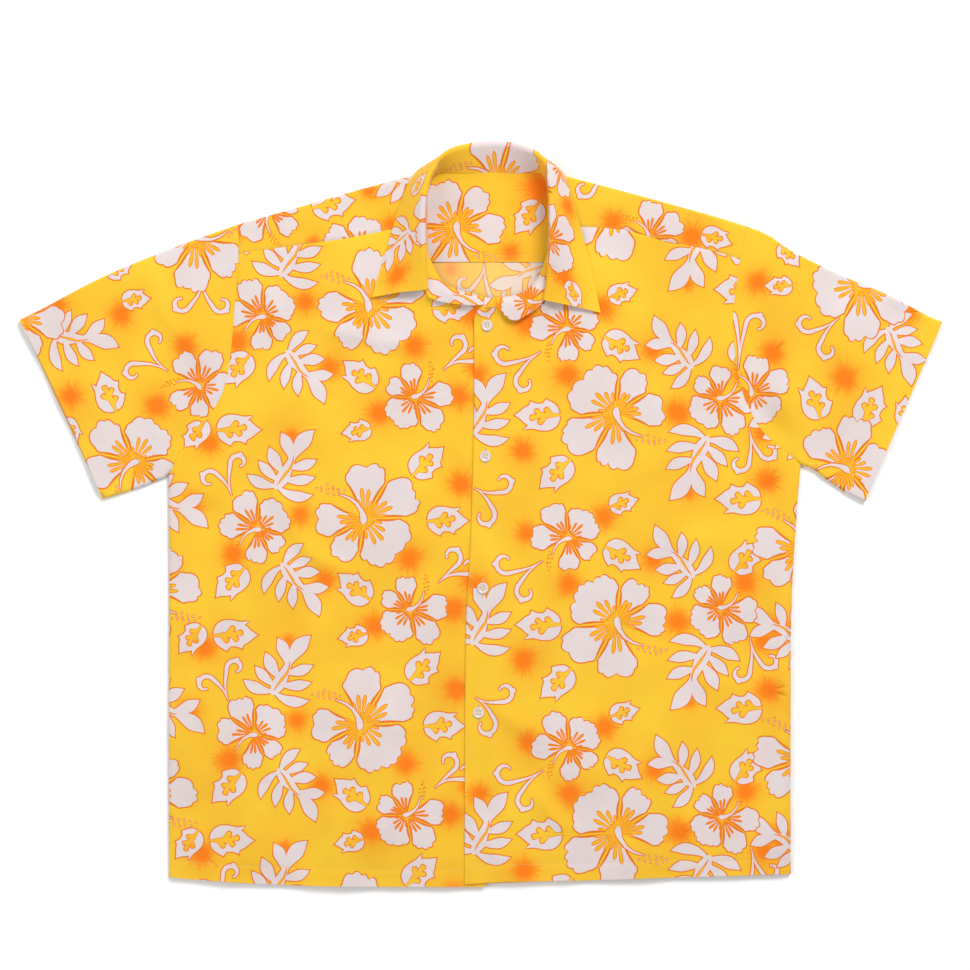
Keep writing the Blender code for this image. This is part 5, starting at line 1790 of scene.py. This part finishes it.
def on_surface(x, y, side, surfaces):
    """The outermost cloth above (side 1) or below (-1) a place: its name, the point and its normal."""
    best = None
    for name, surface in surfaces.items():
        point, normal, _, _ = surface.ray_cast(Vector((x * MM, y * MM, 0.08 * side)), Vector((0, 0, -side)))
        if point is not None and (best is None or side * point.z > side * best[1].z):
            best = name, point, normal if normal.z * side > 0 else -normal
    return best


def stitch_row(line, surfaces, names, look, side=1):
    """Stitches along a line, where one of the named cloths lies outermost."""
    places = evenly(np.asarray(line, float), look.stitch_pitch / MM)
    found = [on_surface(x, y, side, surfaces) for x, y in places]
    made = []
    for before, after in zip(found[:-1], found[1:]):
        if before and after and before[0] == after[0] and before[0] in names:
            way = after[1] - before[1]
            up = (before[2] + after[2]).normalized()
            middle = (before[1] + after[1]) / 2 + up * STITCH_LIFT * look.stitch_width
            made.append((middle, way, up, look.stitch_length))
    return made


class SHIRT_OT_seams(bpy.types.Operator):
    """Topstitching of the band, hems, cuffs, yoke and yoke facing"""

    bl_idname = "shirt.seams"
    bl_label = "Topstitching"

    def execute(self, context):
        look = context.scene.shirt_cloth
        surfaces = cloth_surfaces()
        tree = stitch_tree(thread_paint(look))
        fronts = ("front_right_cloth", "front_left_cloth")
        yoke = ("back_yoke_cloth",)
        band = shifted(curve(PLACKET_EDGE), BAND_WIDTH)
        facing_row = [(side[0][0], BACK_SEAM_Y + FACING_HEM) for side in (NECK_SIDE_RIGHT, NECK_SIDE_LEFT)]
        above = [
            (band, fronts),
            (shifted(curve(HEM_RIGHT), HEM_TURN), fronts),
            (shifted(curve(HEM_LEFT), HEM_TURN), fronts),
            (curve(FRONT_SEAM_RIGHT) + (0, YOKE_STITCH), yoke),
            (curve(FRONT_SEAM_LEFT) + (0, YOKE_STITCH), yoke),
            (facing_row, ("yoke_facing_cloth",)),
        ]
        below = [
            (shifted(curve(HEM_BACK), HEM_TURN), ("back_panel_cloth",)),
            ([(x, BACK_SEAM_Y + YOKE_STITCH) for x in (-300.0, 300.0)], yoke),
        ]
        right = SLEEVE_TOP_RIGHT, SLEEVE_LOW_RIGHT, 1, "right"
        left = SLEEVE_TOP_LEFT, SLEEVE_LOW_LEFT, -1, "left"
        for top, low, body, side in (right, left):
            row = shifted(np.array([top[-1], low[-1]]), body * CUFF_TURN), (f"sleeve_{side}_cloth",)
            above.append(row)
            below.append(row)
        for name, side, rows in (("topstitching_front", 1, above), ("topstitching_back", -1, below)):
            stitches = []
            for line, names in rows:
                stitches += stitch_row(line, surfaces, names, look, side)
            sewn(name, stitches, tree, look)
        return {"FINISHED"}


class SHIRT_OT_buttonholes(bpy.types.Operator):
    """Worked edges of the buttonholes"""

    bl_idname = "shirt.buttonholes"
    bl_label = "Buttonholes"

    def execute(self, context):
        look = context.scene.shirt_cloth
        surfaces = {name: one for name, one in cloth_surfaces().items() if name == "front_left_cloth"}
        tree = stitch_tree(thread_paint(look))
        ahead = band_heading()
        across = np.array([ahead[1], -ahead[0]])
        pitch, long, off = HOLE_STITCHES
        count, bar_pitch, bar = HOLE_BAR
        half = BUTTONHOLE_LENGTH / 2
        places = [(run, side * off, long) for run in np.arange(-half, half, pitch) for side in (-1, 1)]
        for end in (-1, 1):
            places += [(end * (half + 0.3 + bar_pitch * k), 0.0, bar) for k in range(count)]
        stitches = []
        for centre in BUTTONS:
            for run, aside, length in places:
                found = on_surface(*(np.array(centre) + run * ahead + aside * across), 1, surfaces)
                if found:
                    stitches.append((found[1], Vector((*across, 0.0)), found[2], length * MM))
        sewn("buttonhole_stitches", stitches, tree, look)
        return {"FINISHED"}


def plate(name, corners, triangles, tops, bottoms, paint):
    """A closed plate from one flat triangulation, with its own heights above and below."""
    count = len(corners)
    points = np.vstack([np.column_stack([corners, tops]), np.column_stack([corners, bottoms])]) * MM
    faces = [tuple(face) for face in triangles] + [(c + count, b + count, a + count) for a, b, c in triangles]
    ways = {(face[i], face[(i + 1) % 3]) for face in triangles for i in range(3)}
    faces += [(b, a, a + count, b + count) for a, b in ways if (b, a) not in ways]
    data = bpy.data.meshes.new(name)
    data.from_pydata(points.tolist(), [], [tuple(map(int, face)) for face in faces])
    data.shade_smooth()
    data.set_sharp_from_angle(angle=math.radians(50))
    data.materials.append(paint)
    return put_in(name, data)


class SHIRT_OT_buttons(bpy.types.Operator):
    """Four-hole pearly buttons and the thread that holds them"""

    bl_idname = "shirt.buttons"
    bl_label = "Buttons"

    def execute(self, context):
        look = context.scene.shirt_cloth
        paint = pearl(look)
        radii, depths, rises = np.array(BUTTON_PROFILE).T
        rim = circle((0, 0), BUTTON_RADIUS, BUTTON_POINTS)
        rings = [circle((0, 0), radius, BUTTON_POINTS) for radius in radii[1:-1]]
        spots = BUTTON_HOLE_OFFSET * np.array([(-1, -1), (1, -1), (1, 1), (-1, 1)])
        holes, lips = (
            [circle(spot, BUTTON_HOLE_RADIUS + more, HOLE_POINTS) for spot in spots] for more in (0, HOLE_LIP)
        )
        points = np.vstack([rim, *holes, *rings, *lips])
        faces = numbered([rim, *holes])
        found = delaunay_2d_cdt([Vector(p) for p in points], [], faces, 0, 1e-4)
        flat = np.array([tuple(v) for v in found[0]])
        triangles = [tuple(face) for face, came in zip(found[2], found[5]) if came == [0]]
        radius = np.hypot(*flat.T)
        lip = np.min([np.hypot(*(flat - spot).T) for spot in spots], axis=0) < BUTTON_HOLE_RADIUS + 0.1
        stitches = []
        for number, (centre, turn) in enumerate(zip(BUTTONS, BUTTON_TURNS), 1):
            low, high = (corner[2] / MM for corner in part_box(f"button_{number}"))
            tops = high - np.interp(radius, radii, depths) - HOLE_LIP_DEPTH * lip
            bottoms = low + np.interp(radius, radii, rises)
            corners = turned(flat, turn) + centre
            piece = plate(f"button_{number}_pearl", corners, triangles, tops, bottoms, paint)
            dress(piece, f"button_{number}")
            top = (high - depths[0] + 0.08) * MM
            way = Vector((*step_towards(turn), 0.0))
            for side in (-1, 1):
                for strand in BUTTON_STRANDS:
                    place = turned(np.array([[0.0, side * BUTTON_HOLE_OFFSET + strand]]), turn)[0] + centre
                    place = Vector((*place * MM, top))
                    stitches.append((place, way, Vector((0, 0, 1)), STRAND_LENGTH * MM))
        sewn("button_thread", stitches, stitch_tree(thread_paint(look)), look)
        return {"FINISHED"}


class SHIRT_OT_stage(bpy.types.Operator):
    """Floor, soft light and camera"""

    bl_idname = "shirt.stage"
    bl_label = "Stage"

    def execute(self, context):
        look = context.scene.shirt_stage
        half = look.floor_size / 2
        data = bpy.data.meshes.new("floor")
        corners = [(half * x, half * y, -FLOOR_DROP) for x, y in ((-1, -1), (1, -1), (1, 1), (-1, 1))]
        data.from_pydata(corners, [], [(0, 1, 2, 3)])
        paint, _, _ = new_paint("pale_floor", Base_Color=opaque(look.floor_colour), Roughness=0.9)
        data.materials.append(paint)
        put_in("floor", data)
        world = bpy.data.worlds.new("studio")
        world.use_nodes = True
        sky = world.node_tree.nodes["Background"]
        fill_in(world.node_tree, sky, {"Color": (1, 1, 1, 1), "Strength": SKY_STRENGTH})
        context.scene.world = world
        context.scene.view_settings.view_transform = "Standard"
        for (name, place, size), power in zip(LIGHTS, (look.key_power, look.fill_power)):
            lamp = bpy.data.lights.new(name, "AREA")
            lamp.shape = "DISK"
            lamp.size = size
            lamp.energy = power
            light = put_in(name, lamp)
            light.location = place
            light.rotation_euler = (-Vector(place)).to_track_quat("-Z", "Y").to_euler()
        eye = bpy.data.cameras.new("camera")
        eye.sensor_width = 36.0
        eye.lens = eye.sensor_width * look.camera_height / look.view_width
        eye.clip_end = 50
        camera = put_in("camera", eye)
        camera.location = (*CAMERA_PLACE, look.camera_height)
        context.scene.camera = camera
        return {"FINISHED"}


class SHIRT_PT_panel(bpy.types.Panel):
    """Lists the parts of the shirt"""

    bl_label = "Shirt"
    bl_idname = "SHIRT_PT_panel"
    bl_space_type = "VIEW_3D"
    bl_region_type = "UI"
    bl_category = "Shirt"

    def draw(self, context):
        for look in (context.scene.shirt_cloth, context.scene.shirt_stage):
            for name in look.bl_rna.properties.keys()[1:]:
                self.layout.prop(look, name)
        for one in OPERATORS:
            self.layout.operator(one.bl_idname)


OPERATORS = (
    SHIRT_OT_stage,
    SHIRT_OT_back,
    SHIRT_OT_yoke,
    SHIRT_OT_fronts,
    SHIRT_OT_facings,
    SHIRT_OT_sleeves,
    SHIRT_OT_collar,
    SHIRT_OT_seams,
    SHIRT_OT_buttonholes,
    SHIRT_OT_buttons,
)
CLASSES = (ClothLook, StageLook, *OPERATORS, SHIRT_PT_panel)


def register():
    for one in CLASSES:
        bpy.utils.register_class(one)
    bpy.types.Scene.shirt_cloth = bpy.props.PointerProperty(type=ClothLook)
    bpy.types.Scene.shirt_stage = bpy.props.PointerProperty(type=StageLook)


def unregister():
    del bpy.types.Scene.shirt_stage
    del bpy.types.Scene.shirt_cloth
    for one in reversed(CLASSES):
        bpy.utils.unregister_class(one)


def main():
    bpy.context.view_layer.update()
    register()
    bpy.ops.shirt.stage()
    bpy.ops.shirt.back()
    bpy.ops.shirt.yoke()
    bpy.ops.shirt.fronts()
    bpy.ops.shirt.facings()
    bpy.ops.shirt.sleeves()
    bpy.ops.shirt.collar()
    bpy.ops.shirt.seams()
    bpy.ops.shirt.buttonholes()
    bpy.ops.shirt.buttons()


if __name__ == "__main__":
    main()
